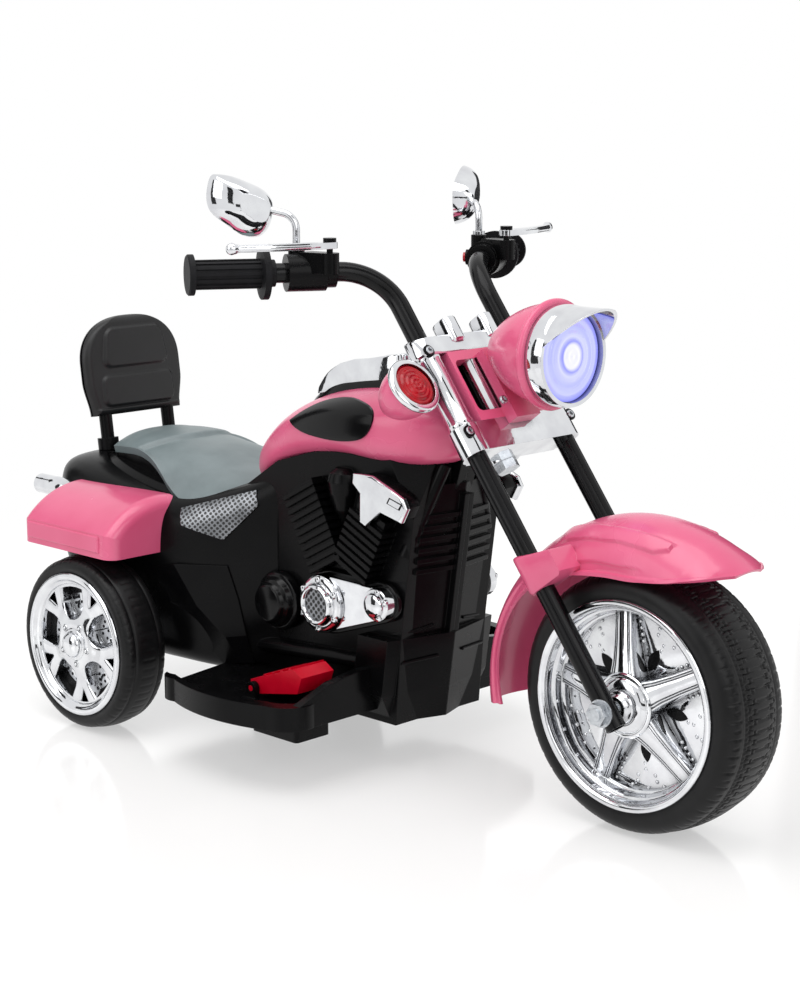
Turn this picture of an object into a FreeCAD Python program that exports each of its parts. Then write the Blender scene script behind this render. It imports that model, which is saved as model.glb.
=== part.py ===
import FreeCAD
import Part
import functools
import math
import os

# Children's battery trike in chopper style. X runs forward, Y to the rider's left, Z up.
# The origin lies on the ground under the middle of the whole object. All lengths are millimetres.

# Layout
wheelbase = 626.0
front_axle_x = 332.0
rake_deg = 37.0
overrun = 2.0
seat_clearance = 0.3
running_clearance = 0.06
full_turn_deg = 360.0
quarter_turn_deg = 90.0
dome_middle_share = 0.64
dome_rise_share = 0.62
lip_round_share = 0.8
edge_round_share = 0.3
section_points = 24

# Front wheel
front_tyre_radius = 125.0
front_tyre_width = 86.0
front_crown_width = 54.0
front_crown_drop = 3.0
front_shoulder_swell = 7.0
front_rim_radius = 100.0
front_seat_radius = 92.0
front_web = 12.0
front_hub_radius = 17.0
front_hub_length = 74.0
front_lip = 3.5
front_lip_width = 9.0
front_dish_radius = 84.0
front_dish_depth = 27.0
front_plate = 4.0
front_spoke_count = 5
front_spoke_root = 22.0
front_spoke_root_width = 30.0
front_spoke_tip_width = 34.0
front_spoke_root_height = 24.0
front_spoke_tip_height = 9.0
front_spoke_edge_share = 0.62
front_nose_radius = 25.0
front_nose_length = 10.0
front_nose_tip_radius = 15.0
front_vent_radius = 2.4
front_vent_ring_shares = (0.5, 0.62, 0.74, 0.86)
front_vent_spread_deg = (7.0, 10.0, 12.0, 13.0)

# Front axle
axle_radius = 6.0
axle_nut_radius = 11.0
axle_nut_height = 7.0
axle_washer_radius = 13.0
axle_washer = 1.5
nut_sides = 6

# Rear wheels
rear_tyre_radius = 94.4
rear_tyre_width = 52.0
rear_track = 330.0
rear_crown_width = 34.0
rear_crown_drop = 2.5
rear_shoulder_swell = 5.0
rear_rim_radius = 78.0
rear_seat_radius = 70.0
rear_web = 10.0
rear_hub_radius = 16.0
rear_hub_length = 48.0
rear_lip = 4.0
rear_lip_width = 7.0
rear_face_depth = 8.0
rear_face = 5.0
rear_back_gap = 7.0
rear_back_plate = 2.5
rear_spoke_count = 5
rear_window_inner = 33.0
rear_window_outer = 58.0
rear_window_inner_radius = 8.0
rear_window_outer_radius = 13.0
rear_boss_radius = 24.0
rear_boss_height = 6.0
rear_cap_radius = 13.5
rear_cap_height = 9.0
rear_cap_wall = 2.0
rear_bolt_radius = 3.5
rear_bolt_height = 3.0
rear_bolt_ring = 19.5
rear_vent_radius = 2.3
rear_vent_rings = (40.0, 50.0, 60.0)
rear_vents_per_ring = 20

# Fork
fork_half_spacing = 64.0
tube_radius = 9.5
tube_wall = 1.6
leg_below_axle = 18.0
leg_gap = 0.3
stem_offset = 27.0
stem_radius = 8.0
stem_nut_radius = 12.0
stem_nut_height = 9.0
lower_clamp_up = 268.0
lower_clamp_height = 30.0
upper_clamp_up = 374.0
upper_clamp_height = 30.0
clamp_radius = 15.0
clamp_rear = 18.0
clamp_front = 14.0
clamp_fillet = 4.0
sleeve_radius = 12.5
gauge_radius = 12.0
gauge_length = 30.0
gauge_spacing = 40.0
gauge_sink = 4.0
head_bush_radius = 15.0
head_bush_gap = 0.5
shroud_half_width = 50.5
shroud_depth = 13.0
shroud_window_width = 37.5
shroud_window_height = 56.0
shroud_window_radius = 6.0
shroud_post = 9.0
shroud_foot_width = 34.0
shroud_foot_drop = 8.0

# Handlebar
bar_height = 506.0
bar_sweep_deg = 30.0
bar_reach = 186.0
bar_bend = 58.0
perch_reach = 76.0
perch_radius = 18.0
perch_length = 38.0
perch_collar_radius = 15.0
perch_collar_length = 10.0
grip_length = 84.0
grip_radius = 13.0
grip_flange_radius = 25.0
grip_flange = 6.0
grip_neck = 7.0
grip_end_radius = 19.5
grip_end = 6.0
grip_rib_count = 14
grip_rib = 1.2
grip_rib_width = 3.0
grip_stop_gap = 1.2

# Lever
lever_pivot_ahead = 30.0
lever_pivot_in = 4.0
lever_height = 24.0
lever_thickness = 6.0
lever_length = 102.0
lever_sweep_deg = 16.0
lever_root_width = 15.0
lever_tip_width = 7.0
lever_bow = 5.0
lever_ball_radius = 5.5
lever_boss_radius = 9.0
lever_pin_radius = 3.0
lever_gap = 0.4
lever_cap_share = 0.7
bracket_plate = 4.0

# Mirror
mirror_base_back = 12.0
mirror_base_radius = 8.0
mirror_base_top = 23.0
mirror_stem_radius = 3.6
mirror_stem_rise = 30.0
mirror_bend = 16.0
mirror_back = 52.0
mirror_out = 26.0
mirror_rise = 62.0
mirror_width = 64.0
mirror_height = 60.0
mirror_depth = 22.0
mirror_glass = 2.0
mirror_glass_recess = 1.5
mirror_yaw_deg = 30.0
mirror_stem_share = 0.6
mirror_collar_share = 0.8
mirror_outline_shares = ((-0.75, 1.0), (-0.23, 0.93), (0.39, 0.68), (0.81, 0.43), (1.0, 0.13), (1.0, -0.23),
                         (0.91, -0.65), (0.63, -0.98), (0.39, -1.02), (0.0, -0.9), (-0.39, -0.6),
                         (-0.94, -0.07),
                         (-1.0, 0.27), (-0.95, 0.68))
mirror_apex_shares = (0.62, -0.07)
mirror_depth_shares = (0.0, 0.5, 1.0)
mirror_size_shares = (1.0, 0.86, 0.45)
mirror_glass_share = 0.87

# Hand buttons
button_radius = 5.0
button_length = 8.0
button_proud = 3.0
button_clearance = 0.4
button_travel = 2.0
button_rim_radius = 8.0

# Headlight
headlight_height = 433.0
headlight_lens_x = 233.0
headlight_radius = 49.0
headlight_flare = 4.0
headlight_flare_width = 8.0
headlight_depth = 90.0
headlight_wall = 3.0
headlight_back_radius = 20.0
headlight_waist_share = 0.83
headlight_waist_back_share = 0.66
bezel_width = 20.0
bezel_wall = 4.0
visor_length = 36.0
visor_wall = 2.5
visor_low_share = 0.25
visor_tip_share = 0.96
lens_thickness = 4.0
lens_bulge = 5.0
reflector_depth = 40.0
reflector_wall = 1.5
reflector_floor_radius = 13.0
reflector_waist_share = 0.78
led_radius = 7.0

# Turn signals
signal_side = 106.0
signal_up = 347.0
signal_front = 4.0
signal_radius = 25.0
signal_depth = 38.0
signal_wall = 2.5
signal_back_radius = 11.0
signal_rim = 3.0
signal_rim_width = 6.0
signal_lens_bulge = 6.0
signal_lens = 3.0
signal_arm_radius = 7.0
signal_arm_back = 12.0
signal_arm_share = 0.7
signal_waist_share = 0.86
signal_waist_back_share = 0.62
signal_rim_share = 0.7

# Front fender, as stations round the wheel: angle, half width, edge radius, crown radius
fender_wall = 3.0
fender_crown_radius = 172.0
fender_half_width = 52.0
fender_stations_deg = (52.0, 56.0, 65.0, 80.0, 100.0, 120.0, 142.0, 166.0, 191.0)
fender_width_shares = (0.38, 0.78, 0.97, 1.0, 1.0, 1.0, 1.0, 0.97, 0.88)
fender_edge_shares = (0.992, 0.93, 0.81, 0.715, 0.705, 0.755, 0.84, 0.865, 0.86)
fender_crown_shares = (1.014, 1.01, 1.004, 1.0, 1.0, 1.004, 1.018, 1.045, 1.08)
fender_sleeve_up = 158.0
fender_sleeve_length = 44.0
fender_sleeve_radius = 13.5

# Fuel tank, as stations along X: place, half width, low edge, top
tank_front_x = 113.0
tank_length = 289.0
tank_half_width = 75.0
tank_low = 268.0
tank_height = 120.0
tank_wall = 4.0
tank_top_squareness = 2.3
tank_low_squareness = 4.0
tank_notch_gap = 3.0
tank_place_shares = (0.0, 0.05, 0.13, 0.25, 0.42, 0.6, 0.75, 0.87, 0.95, 1.0)
tank_width_shares = (0.3, 0.55, 0.72, 0.85, 0.96, 1.0, 0.95, 0.79, 0.58, 0.34)
tank_low_shares = (0.06, 0.03, 0.1, 0.24, 0.36, 0.4, 0.37, 0.38, 0.43, 0.52)
tank_top_shares = (0.2, 0.36, 0.54, 0.74, 0.9, 0.98, 1.0, 0.98, 0.91, 0.78)

# Tank fittings
badge_thickness = 2.0
badge_rear_x = -87.0
badge_length = 125.0
badge_low = 335.0
badge_height = 41.0
badge_outline_shares = ((0.0, 0.27), (0.244, 0.707), (0.362, 0.861), (0.55, 0.993), (0.818, 0.976),
                        (1.0, 0.712),
                        (0.948, 0.229), (0.816, 0.056), (0.382, 0.012), (0.17, 0.088))
trim_rear_share = 64 / 289
trim_front_share = 206 / 289
trim_half_width = 25.0
trim_rear_top = 368.0
trim_front_top = 400.0
trim_bottom = 330.0
trim_fillet = 5.0
dash_rear_gap = 34.0
dash_front_gap = 6.0
dash_half_width = 22.0
dash_height = 14.0
dash_fillet = 4.0
rocker_length = 18.0
rocker_width = 12.0
rocker_depth = 9.0
rocker_proud = 2.5
rocker_clearance = 0.8
rocker_spacing = 30.0
rocker_pin_radius = 1.5

# Body
block_half_width = 62.0
block_rear_x = -196.0
block_front_x = 90.0
block_low = 52.0
block_high = 328.0
block_wall = 6.0
block_outline_shares = ((0.0, 0.0), (0.9, 0.0), (0.93, 0.36), (0.985, 0.78), (1.0, 1.0), (0.62, 1.0),
                        (0.3, 0.9),
                        (0.0, 0.7))
shoulder_back = 40.0
shoulder_in = 32.0
shoulder_down = 70.0
nose_low_x = 64.0
nose_lean = 35.0
nose_top = 297.0
nose_half_width = 57.0
nose_vee = 10.0
nose_back = 40.0
nose_top_half_width = 33.0
nose_shoulder = 250.0
louvre_count = 6
louvre_low = 208.0
louvre_pitch = 11.0
louvre_height = 5.0
louvre_depth = 4.0
nose_rib_half_width = 6.5
nose_rib_proud = 6.0
nose_rib_top = 286.0
bumper_top = 142.0
bumper_half_width = 77.0
bumper_waist = 84.0
bumper_low_half_width = 58.0
bumper_proud = 8.0
bumper_vee = 20.0
bumper_back = 42.0
neck_half_width = 12.0
neck_back = 45.0
rear_body_front_x = -110.0
rear_body_length = 352.0
rear_body_axle_back = 184.0
rear_body_axle_share = 0.52
rear_body_half_width = 126.0
rear_body_low = 62.0
rear_body_height = 210.0
rear_body_wall = 5.0
rear_body_squareness = 5.0
rear_place_shares = (0.0, 0.16, 0.33, 0.52, 0.72, 0.88, 0.96, 1.0)
rear_width_shares = (0.5, 0.76, 0.95, 1.0, 0.98, 0.86, 0.66, 0.45)
rear_low_shares = (0.0, 0.01, 0.02, 0.03, 0.14, 0.42, 0.58, 0.68)
rear_top_shares = (1.12, 0.99, 0.93, 0.95, 1.0, 1.01, 0.97, 0.88)

# Engine relief
cylinder_width = 50.0
cylinder_depth = 20.0
cylinder_core_share = 0.82
fin_pitch = 8.0
fin_height = 4.5
front_cylinder_x = 14.0
rear_cylinder_x = -20.0
cylinder_base = 206.0
front_cylinder_tilt_deg = 25.0
rear_cylinder_tilt_deg = -28.0
front_cylinder_length = 70.0
rear_cylinder_length = 88.0
cylinder_cover_rear_x = 24.0
cylinder_cover_length = 78.0
cylinder_cover_low = 255.0
cylinder_cover_height = 56.0
cylinder_cover_depth = 26.0
cylinder_cover_bevel = 7.0
cylinder_cover_face_share = 0.84
cylinder_cover_middle_shares = (0.44, 0.66)
cylinder_cover_outline_shares = ((0.05, 0.95), (0.35, 1.0), (0.78, 0.83), (1.0, 0.55), (0.88, 0.21),
                                 (0.53, 0.31),
                                 (0.27, 0.0), (0.15, 0.06), (0.18, 0.7), (0.0, 0.73))
clutch_x = -26.0
clutch_height = 166.0
clutch_radius = 29.0
clutch_depth = 24.0
clutch_edge = 6.0
clutch_grille_radius = 15.0
clutch_grille_recess = 3.0
clutch_bolt_count = 6
clutch_bolt_radius = 2.6
clutch_bolt_height = 2.0
primary_x = 52.0
primary_height = 178.0
primary_radius = 16.0
primary_depth = 18.0
horn_x = -102.0
horn_height = 154.0
horn_radius = 31.0
horn_depth = 20.0
horn_edge = 5.0
horn_dish = 2.0
exhaust_radius = 8.0
exhaust_side = 66.0
exhaust_rear_x = -150.0
exhaust_rear_height = 100.5
exhaust_front_x = 24.0
exhaust_front_height = 112.0
pod_x = -10.0
pod_side = 62.0
pod_low = 243.0
pod_length = 63.0
pod_radius = 18.0
pod_profile_shares = ((0.0, 0.0), (0.6, 0.32), (0.9, 0.58), (1.0, 0.78), (0.86, 0.92), (0.5, 1.0),
                      (0.0, 1.0))
frame_tube_radius = 7.0
frame_tube_top_x = 92.0
frame_tube_top_side = 24.0
frame_tube_top_height = 316.0
frame_tube_low_x = 72.0
frame_tube_low_side = 60.0
frame_tube_low_height = 226.0

# Seat, as stations along X: place, half width, top, edge
seat_behind = 104.0
seat_front_x = -148.0
seat_half_width = 96.0
seat_base = 240.0
seat_height = 62.0
seat_thickness = 9.0
seat_place_shares = (0.0, 0.1, 0.3, 0.54, 0.76, 0.92, 1.0)
seat_width_shares = (0.62, 0.8, 0.94, 1.0, 0.96, 0.66, 0.4)
seat_top_shares = (0.9, 0.97, 0.99, 0.9, 0.62, 0.5, 0.44)
seat_edge_shares = (0.64, 0.54, 0.34, 0.12, 0.02, 0.16, 0.3)
seat_seam_behind = 11.0
seat_seam_bow = 31.0
seat_seam_half_width = 78.0
seat_seam_width = 3.0
seat_seam_depth = 2.5
seat_trim_skin = 2.5
seat_trim_rear_x = -212.0
seat_trim_length = 84.0
seat_trim_low = 214.0
seat_trim_height = 54.0
seat_trim_corner_shares = ((0.0, 0.54), (0.07, 0.22), (0.62, 0.0), (1.0, 0.7), (0.94, 1.0))

# Backrest
backrest_behind = 126.0
backrest_lean_deg = 8.0
backrest_low = 313.0
backrest_width = 140.0
backrest_height = 112.0
backrest_thickness = 20.0
backrest_crown = 20.0
backrest_fillet = 6.0
backrest_panel_inset = 16.0
backrest_panel_depth = 3.0
backrest_panel_split = 46.0
post_half_spacing = 45.0
post_radius = 7.5
post_sink = 22.0
post_foot = 270.0
post_collar_radius = 12.0
post_collar_height = 18.0

# Rear boxes over the rear wheels
box_behind = 94.0
box_ahead = 62.0
box_out = 188.0
box_in = 96.0
box_low = 194.0
box_side_top = 220.0
box_top = 252.0
box_wall = 3.0
box_fillet = 14.0
box_arch_share = 0.66
box_arch_rise_share = 0.74
box_panel_inset = 12.0
box_panel = 2.0
box_panel_round_share = 0.9

# Rear lamps
rear_lamp_side = 122.0
rear_lamp_height = 242.0
rear_lamp_behind = 146.0
rear_lamp_length = 64.0
rear_lamp_radius = 11.0
rear_lamp_wall = 2.0
rear_lamp_lens = 5.0
rear_lamp_stub_radius = 5.0
rear_lamp_stub_length = 26.0
rear_lamp_straight_share = 0.4
rear_lamp_waist_share = 0.78
rear_lamp_waist_along_share = 0.75
rear_lamp_lens_share = 0.8

# Footboards
footboard_rear_x = -152.0
footboard_front_x = 40.0
footboard_out = 206.0
footboard_in = 52.0
footboard_low = 66.0
footboard_floor = 12.0
footboard_rim = 12.0
footboard_rim_height = 24.0
footboard_rear_skew = 22.0
footboard_side_back = 180.0
footboard_corner = 26.0
footboard_rear_round_shares = (0.3, 0.4)
footboard_front_round_shares = (0.2, 0.1)
footboard_wall = 10.0
footboard_wall_shares = ((0.84, 0.0), (0.64, 0.7), (0.46, 0.96), (0.3, 1.0))
footboard_wall_rise = 21.0
skid_length = 66.0
skid_width = 46.0
skid_height = 24.0
skid_x = -22.0
skid_side = 128.0
skid_fillet = 4.0

# Foot pedal
pedal_heel_x = -50.0
pedal_length = 62.0
pedal_width = 44.0
pedal_side = 128.0
pedal_pin_height = 88.0
pedal_pin_radius = 3.0
pedal_heel = 7.0
pedal_toe_top = 29.0
pedal_toe_low = 5.0
pedal_toe_run = 6.0
pedal_rib_count = 4
pedal_rib_height = 2.0
pedal_rib_width = 4.0
pedal_lug = 6.0
pedal_lug_gap = 0.5
pedal_lug_radius = 6.5

# Drive and electrics
gearbox_side = 50.0
gearbox_width = 50.0
gearbox_radius = 18.0
motor_radius = 17.0
motor_length = 62.0
motor_ahead = 34.0
motor_rise = 46.0
motor_boss_radius = 21.0
motor_cap_radius = 12.0
motor_cap = 4.0
battery_length = 100.0
battery_width = 70.0
battery_height = 48.0
battery_x = -124.0
battery_terminal = 5.0
module_length = 62.0
module_width = 44.0
module_height = 16.0
speaker_radius = 25.0
speaker_depth = 14.0
speaker_magnet_radius = 14.0
speaker_magnet = 9.0
socket_x = -150.0
socket_height = 120.0
socket_bore_radius = 3.2
socket_bore_depth = 12.0
socket_barrel_radius = 6.0
socket_barrel_length = 16.0
socket_flange_radius = 10.0
socket_flange = 2.5

rake = math.radians(rake_deg)
front_axle = FreeCAD.Vector(front_axle_x, 0, front_tyre_radius)
rear_axle_x = front_axle_x - wheelbase
rear_body_stretch = rear_body_front_x - rear_axle_x - rear_body_axle_back
seat_rear_x = rear_axle_x - seat_behind
seat_length = seat_front_x - seat_rear_x
seat_seam_x = rear_axle_x - seat_seam_behind
seat_seam_edge_x = seat_seam_x - seat_seam_bow
backrest_x = rear_axle_x - backrest_behind
box_rear_x = rear_axle_x - box_behind
box_front_x = rear_axle_x + box_ahead
rear_lamp_rear_x = rear_axle_x - rear_lamp_behind
tank_rear_x = tank_front_x - tank_length
trim_rear_x = tank_rear_x + tank_length * trim_rear_share
trim_front_x = tank_rear_x + tank_length * trim_front_share
dash_rear_x = trim_rear_x + dash_rear_gap
dash_front_x = trim_front_x - dash_front_gap
rear_axle_place = FreeCAD.Vector(rear_axle_x, 0, rear_tyre_radius)
fork_frame = FreeCAD.Placement(front_axle, FreeCAD.Rotation(FreeCAD.Vector(0, 1, 0), -rake_deg))
ahead = FreeCAD.Vector(1, 0, 0)
leftward = FreeCAD.Vector(0, 1, 0)
upward = FreeCAD.Vector(0, 0, 1)
bar_sweep = math.radians(bar_sweep_deg)
bar_outward = FreeCAD.Vector(-math.sin(bar_sweep), -math.cos(bar_sweep), 0)
bar_corner_up = (bar_height - front_tyre_radius) / math.cos(rake)
leg_top_up = upper_clamp_up + upper_clamp_height / 2
right_half = Part.makeBox(2 * wheelbase, wheelbase, 2 * wheelbase,
                          FreeCAD.Vector(-wheelbase, -wheelbase, -wheelbase))


def vec(x, y, z):
    return FreeCAD.Vector(x, y, z)


def mirrored(shape):
    return shape.mirror(vec(0, 0, 0), leftward)


def both_sides(shape):
    return [shape, mirrored(shape)]


def fused(shapes):
    first = shapes[0]
    if len(shapes) == 1:
        return first
    return first.multiFuse(shapes[1:]).removeSplitter()


def rod(start, end, radius):
    span = end - start
    return Part.makeCylinder(radius, span.Length, start, span)


def block(low, high):
    size = high - low
    return Part.makeBox(size.x, size.y, size.z, low)


def prism(points, reach):
    return Part.Face(Part.makePolygon(list(points) + [points[0]])).extrude(reach)


def traced_wire(steps):
    # Each step is a point, or a (middle, end) pair for a round stretch. The wire closes itself.
    edges = []
    here = steps[0]
    for step in list(steps[1:]) + [steps[0]]:
        if isinstance(step, tuple):
            middle, end = step
            edges.append(Part.Arc(here, middle, end).toShape())
            here = end
        elif (step - here).Length > 0:
            edges.append(Part.LineSegment(here, step).toShape())
            here = step
    return Part.Wire(edges)


def turned(profile, centre, axis):
    # The profile gives (radius, along) places, or a pair of them for a round stretch.
    steps = []
    for place in profile:
        if isinstance(place[0], tuple):
            steps.append(tuple(vec(radius, 0, along) for radius, along in place))
        else:
            steps.append(vec(place[0], 0, place[1]))
    shape = Part.Face(traced_wire(steps)).revolve(vec(0, 0, 0), upward, full_turn_deg)
    shape.Placement = FreeCAD.Placement(centre, FreeCAD.Rotation(upward, axis))
    return shape


def ring(outer, inner, start, end):
    return rod(start, end, outer).cut(rod(start, end, inner))


def polygon_bar(sides, radius, start, end):
    # A straight bar with a regular polygon section, such as a nut.
    span = end - start
    points = []
    for index in range(sides):
        turn = 2 * math.pi * index / sides
        points.append(vec(radius * math.cos(turn), radius * math.sin(turn), 0))
    bar = prism(points, vec(0, 0, span.Length))
    bar.Placement = FreeCAD.Placement(start, FreeCAD.Rotation(upward, span))
    return bar


def bent_rod(points, bend, radius):
    # A round rod along straight runs joined by tangent arcs of one bend radius.
    edges = []
    here = points[0]
    for before, corner, after in zip(points, points[1:], points[2:]):
        back = (before - corner).normalize()
        onward = (after - corner).normalize()
        half_angle = back.getAngle(onward) / 2
        setback = bend / math.tan(half_angle)
        enter = corner + back * setback
        leave = corner + onward * setback
        bisector = (back + onward).normalize()
        middle = corner + bisector * (bend / math.sin(half_angle) - bend)
        edges.append(Part.LineSegment(here, enter).toShape())
        edges.append(Part.Arc(enter, middle, leave).toShape())
        here = leave
    edges.append(Part.LineSegment(here, points[-1]).toShape())
    path = Part.Wire(edges)
    section = Part.Wire(Part.makeCircle(radius, points[0], points[1] - points[0]))
    return Part.Solid(path.makePipeShell([section], True, False))


def on_fork(shape):
    # Fork coordinates: x ahead of the legs, z up along them, origin on the front axle.
    shape.Placement = fork_frame.multiply(shape.Placement)
    return shape


def fork_point(forward, side, up):
    return fork_frame.multVec(vec(forward, side, up))


def symmetric(shape):
    right = shape.common(right_half)
    return right.fuse(mirrored(right))


def smooth_wire(points, cornered):
    # A closed curve through the points, with a corner at the first of them if it is cornered.
    curve = Part.BSplineCurve()
    if cornered:
        curve.interpolate(points + [points[0]])
    else:
        curve.interpolate(points, PeriodicFlag=True)
    return Part.Wire([curve.toShape()])


def round_section(x, half_width, low, high, low_squareness, top_squareness):
    # A closed curve in a plane across X: |y|^n + |z|^n = 1, scaled to the width and height.
    points = []
    for index in range(section_points):
        turn = 2 * math.pi * index / section_points
        squareness = top_squareness if math.sin(turn) > 0 else low_squareness
        across = math.copysign(abs(math.cos(turn)) ** (2 / squareness), math.cos(turn))
        rise = math.copysign(abs(math.sin(turn)) ** (2 / squareness), math.sin(turn))
        points.append(vec(x, half_width * across, (low + high) / 2 + (high - low) / 2 * rise))
    return smooth_wire(points, False)


@functools.cache
def tank_form(grow):
    wires = []
    for place, width, low, top in zip(tank_place_shares, tank_width_shares, tank_low_shares,
                                      tank_top_shares):
        wires.append(round_section(tank_rear_x + place * tank_length, tank_half_width * width + grow,
                                   tank_low + tank_height * low - grow, tank_low + tank_height * top + grow,
                                   tank_low_squareness, tank_top_squareness))
    notch = rod(fork_point(-stem_offset, 0, 0), fork_point(-stem_offset, 0, bar_corner_up),
                head_bush_radius + tank_notch_gap - grow)
    return symmetric(Part.makeLoft(wires, True, False)).cut(notch)


@functools.cache
def rear_body_form(grow):
    # A longer wheelbase stretches the stations ahead of the rear axle and moves those behind it.
    wires = []
    for place, width, low, top in zip(rear_place_shares, rear_width_shares, rear_low_shares,
                                      rear_top_shares):
        stretch = rear_body_stretch * min(place / rear_body_axle_share, 1)
        wires.append(round_section(rear_body_front_x - place * rear_body_length - stretch,
                                   rear_body_half_width * width + grow,
                                   rear_body_low + rear_body_height * low - grow,
                                   rear_body_low + rear_body_height * top + grow, rear_body_squareness,
                                   rear_body_squareness))
    return Part.makeLoft(wires, True, False)


def seat_form(lower, raise_top):
    # Each station is a saddle section: a crowned top, the same crown lowered underneath, and two edges.
    wires = []
    for place, width, top, edge in zip(seat_place_shares, seat_width_shares, seat_top_shares,
                                       seat_edge_shares):
        x = seat_rear_x + place * seat_length
        half = seat_half_width * width
        crown = seat_base + seat_height * top
        rim = seat_base + seat_height * edge
        points = [
            vec(x, -half, rim - lower),
            (vec(x, 0, crown - lower), vec(x, half, rim - lower)),
            vec(x, half, rim + raise_top),
            (vec(x, 0, crown + raise_top), vec(x, -half, rim + raise_top)),
        ]
        wires.append(traced_wire(points))
    return symmetric(Part.makeLoft(wires, True, False))


def wheel_tyre(centre, radius, width, crown_width, crown_drop, swell, rim_radius, seat_radius, web,
               hub_radius,
               hub_length):
    # One blow-moulded wheel: hub sleeve, web and a hollow-shouldered tyre, turned about the axle.
    bore = axle_radius + running_clearance
    side = width / 2
    crown = crown_width / 2
    shoulder_radius = (rim_radius + radius - crown_drop) / 2 + swell
    shoulder = (side + crown) / 2 + swell / 2
    profile = [
        (bore, -hub_length / 2), (hub_radius, -hub_length / 2), (hub_radius, -web / 2),
        (seat_radius, -web / 2),
        (seat_radius, -side), (rim_radius, -side),
        ((shoulder_radius, -shoulder), (radius - crown_drop, -crown)),
        ((radius, 0), (radius - crown_drop, crown)),
        ((shoulder_radius, shoulder), (rim_radius, side)),
        (seat_radius, side), (seat_radius, web / 2), (hub_radius, web / 2), (hub_radius, hub_length / 2),
        (bore, hub_length / 2),
    ]
    return turned(profile, centre, leftward)


def front_hubcap():
    # Deep chrome dish with five ridged spokes, built with the wheel's outward direction as +Z.
    side = front_tyre_width / 2
    floor = side - front_dish_depth
    hub_hole = front_hub_radius + seat_clearance
    seat = front_seat_radius - seat_clearance
    lip_inner = front_rim_radius - front_lip_width
    dish = turned([
        (hub_hole, floor - front_plate), (seat, floor - front_plate), (seat, side + seat_clearance),
        (front_rim_radius, side + seat_clearance),
        ((front_rim_radius - front_lip / 3, side + front_lip * lip_round_share),
         (front_rim_radius - front_lip, side + front_lip)),
        (lip_inner, side + front_lip), (front_dish_radius, floor), (hub_hole, floor),
    ], vec(0, 0, 0), upward)
    solids = [dish]
    for index in range(front_spoke_count):
        solids.append(front_spoke(floor, full_turn_deg * index / front_spoke_count))
    nose_base = floor + front_spoke_root_height
    nose = turned([
        (hub_hole, floor - front_plate), (front_nose_radius, floor - front_plate),
        (front_nose_radius, nose_base),
        ((front_nose_tip_radius + front_nose_length / 3, nose_base + front_nose_length * dome_rise_share),
         (front_nose_tip_radius, nose_base + front_nose_length)),
        (axle_radius + front_lip, nose_base + front_nose_length),
        (axle_radius + front_lip, side - front_lip),
        (hub_hole, side - front_lip),
    ], vec(0, 0, 0), upward)
    solids.append(nose)
    cap = fused(solids)
    vents = []
    for index in range(front_spoke_count):
        gap_turn = full_turn_deg * (index + 1 / 2) / front_spoke_count
        for share, spread in zip(front_vent_ring_shares, front_vent_spread_deg):
            for offset in (-spread, 0, spread):
                turn = math.radians(gap_turn + offset)
                radius = front_dish_radius * share
                place = vec(radius * math.cos(turn), radius * math.sin(turn), floor - front_plate - overrun)
                vents.append(rod(place, place + vec(0, 0, front_plate + 2 * overrun), front_vent_radius))
    return cap.cut(Part.makeCompound(vents))


def front_spoke(floor, turn_deg):
    # A tapering bar with a ridge along its middle, lofted from the hub to the rim wall.
    wires = []
    reaches = (front_spoke_root, front_dish_radius + front_lip)
    widths = (front_spoke_root_width, front_spoke_tip_width)
    heights = (front_spoke_root_height, front_spoke_tip_height)
    for reach, width, height in zip(reaches, widths, heights):
        edge = height * front_spoke_edge_share
        points = [
            vec(reach, -width / 2, floor - front_plate / 2), vec(reach, width / 2, floor - front_plate / 2),
            vec(reach, width / 2, floor + edge), vec(reach, 0, floor + height), vec(reach, -width / 2,
                                                                                    floor + edge),
        ]
        wires.append(Part.makePolygon(points + [points[0]]))
    spoke = Part.makeLoft(wires, True, True)
    spoke.rotate(vec(0, 0, 0), upward, turn_deg)
    return spoke


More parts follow.
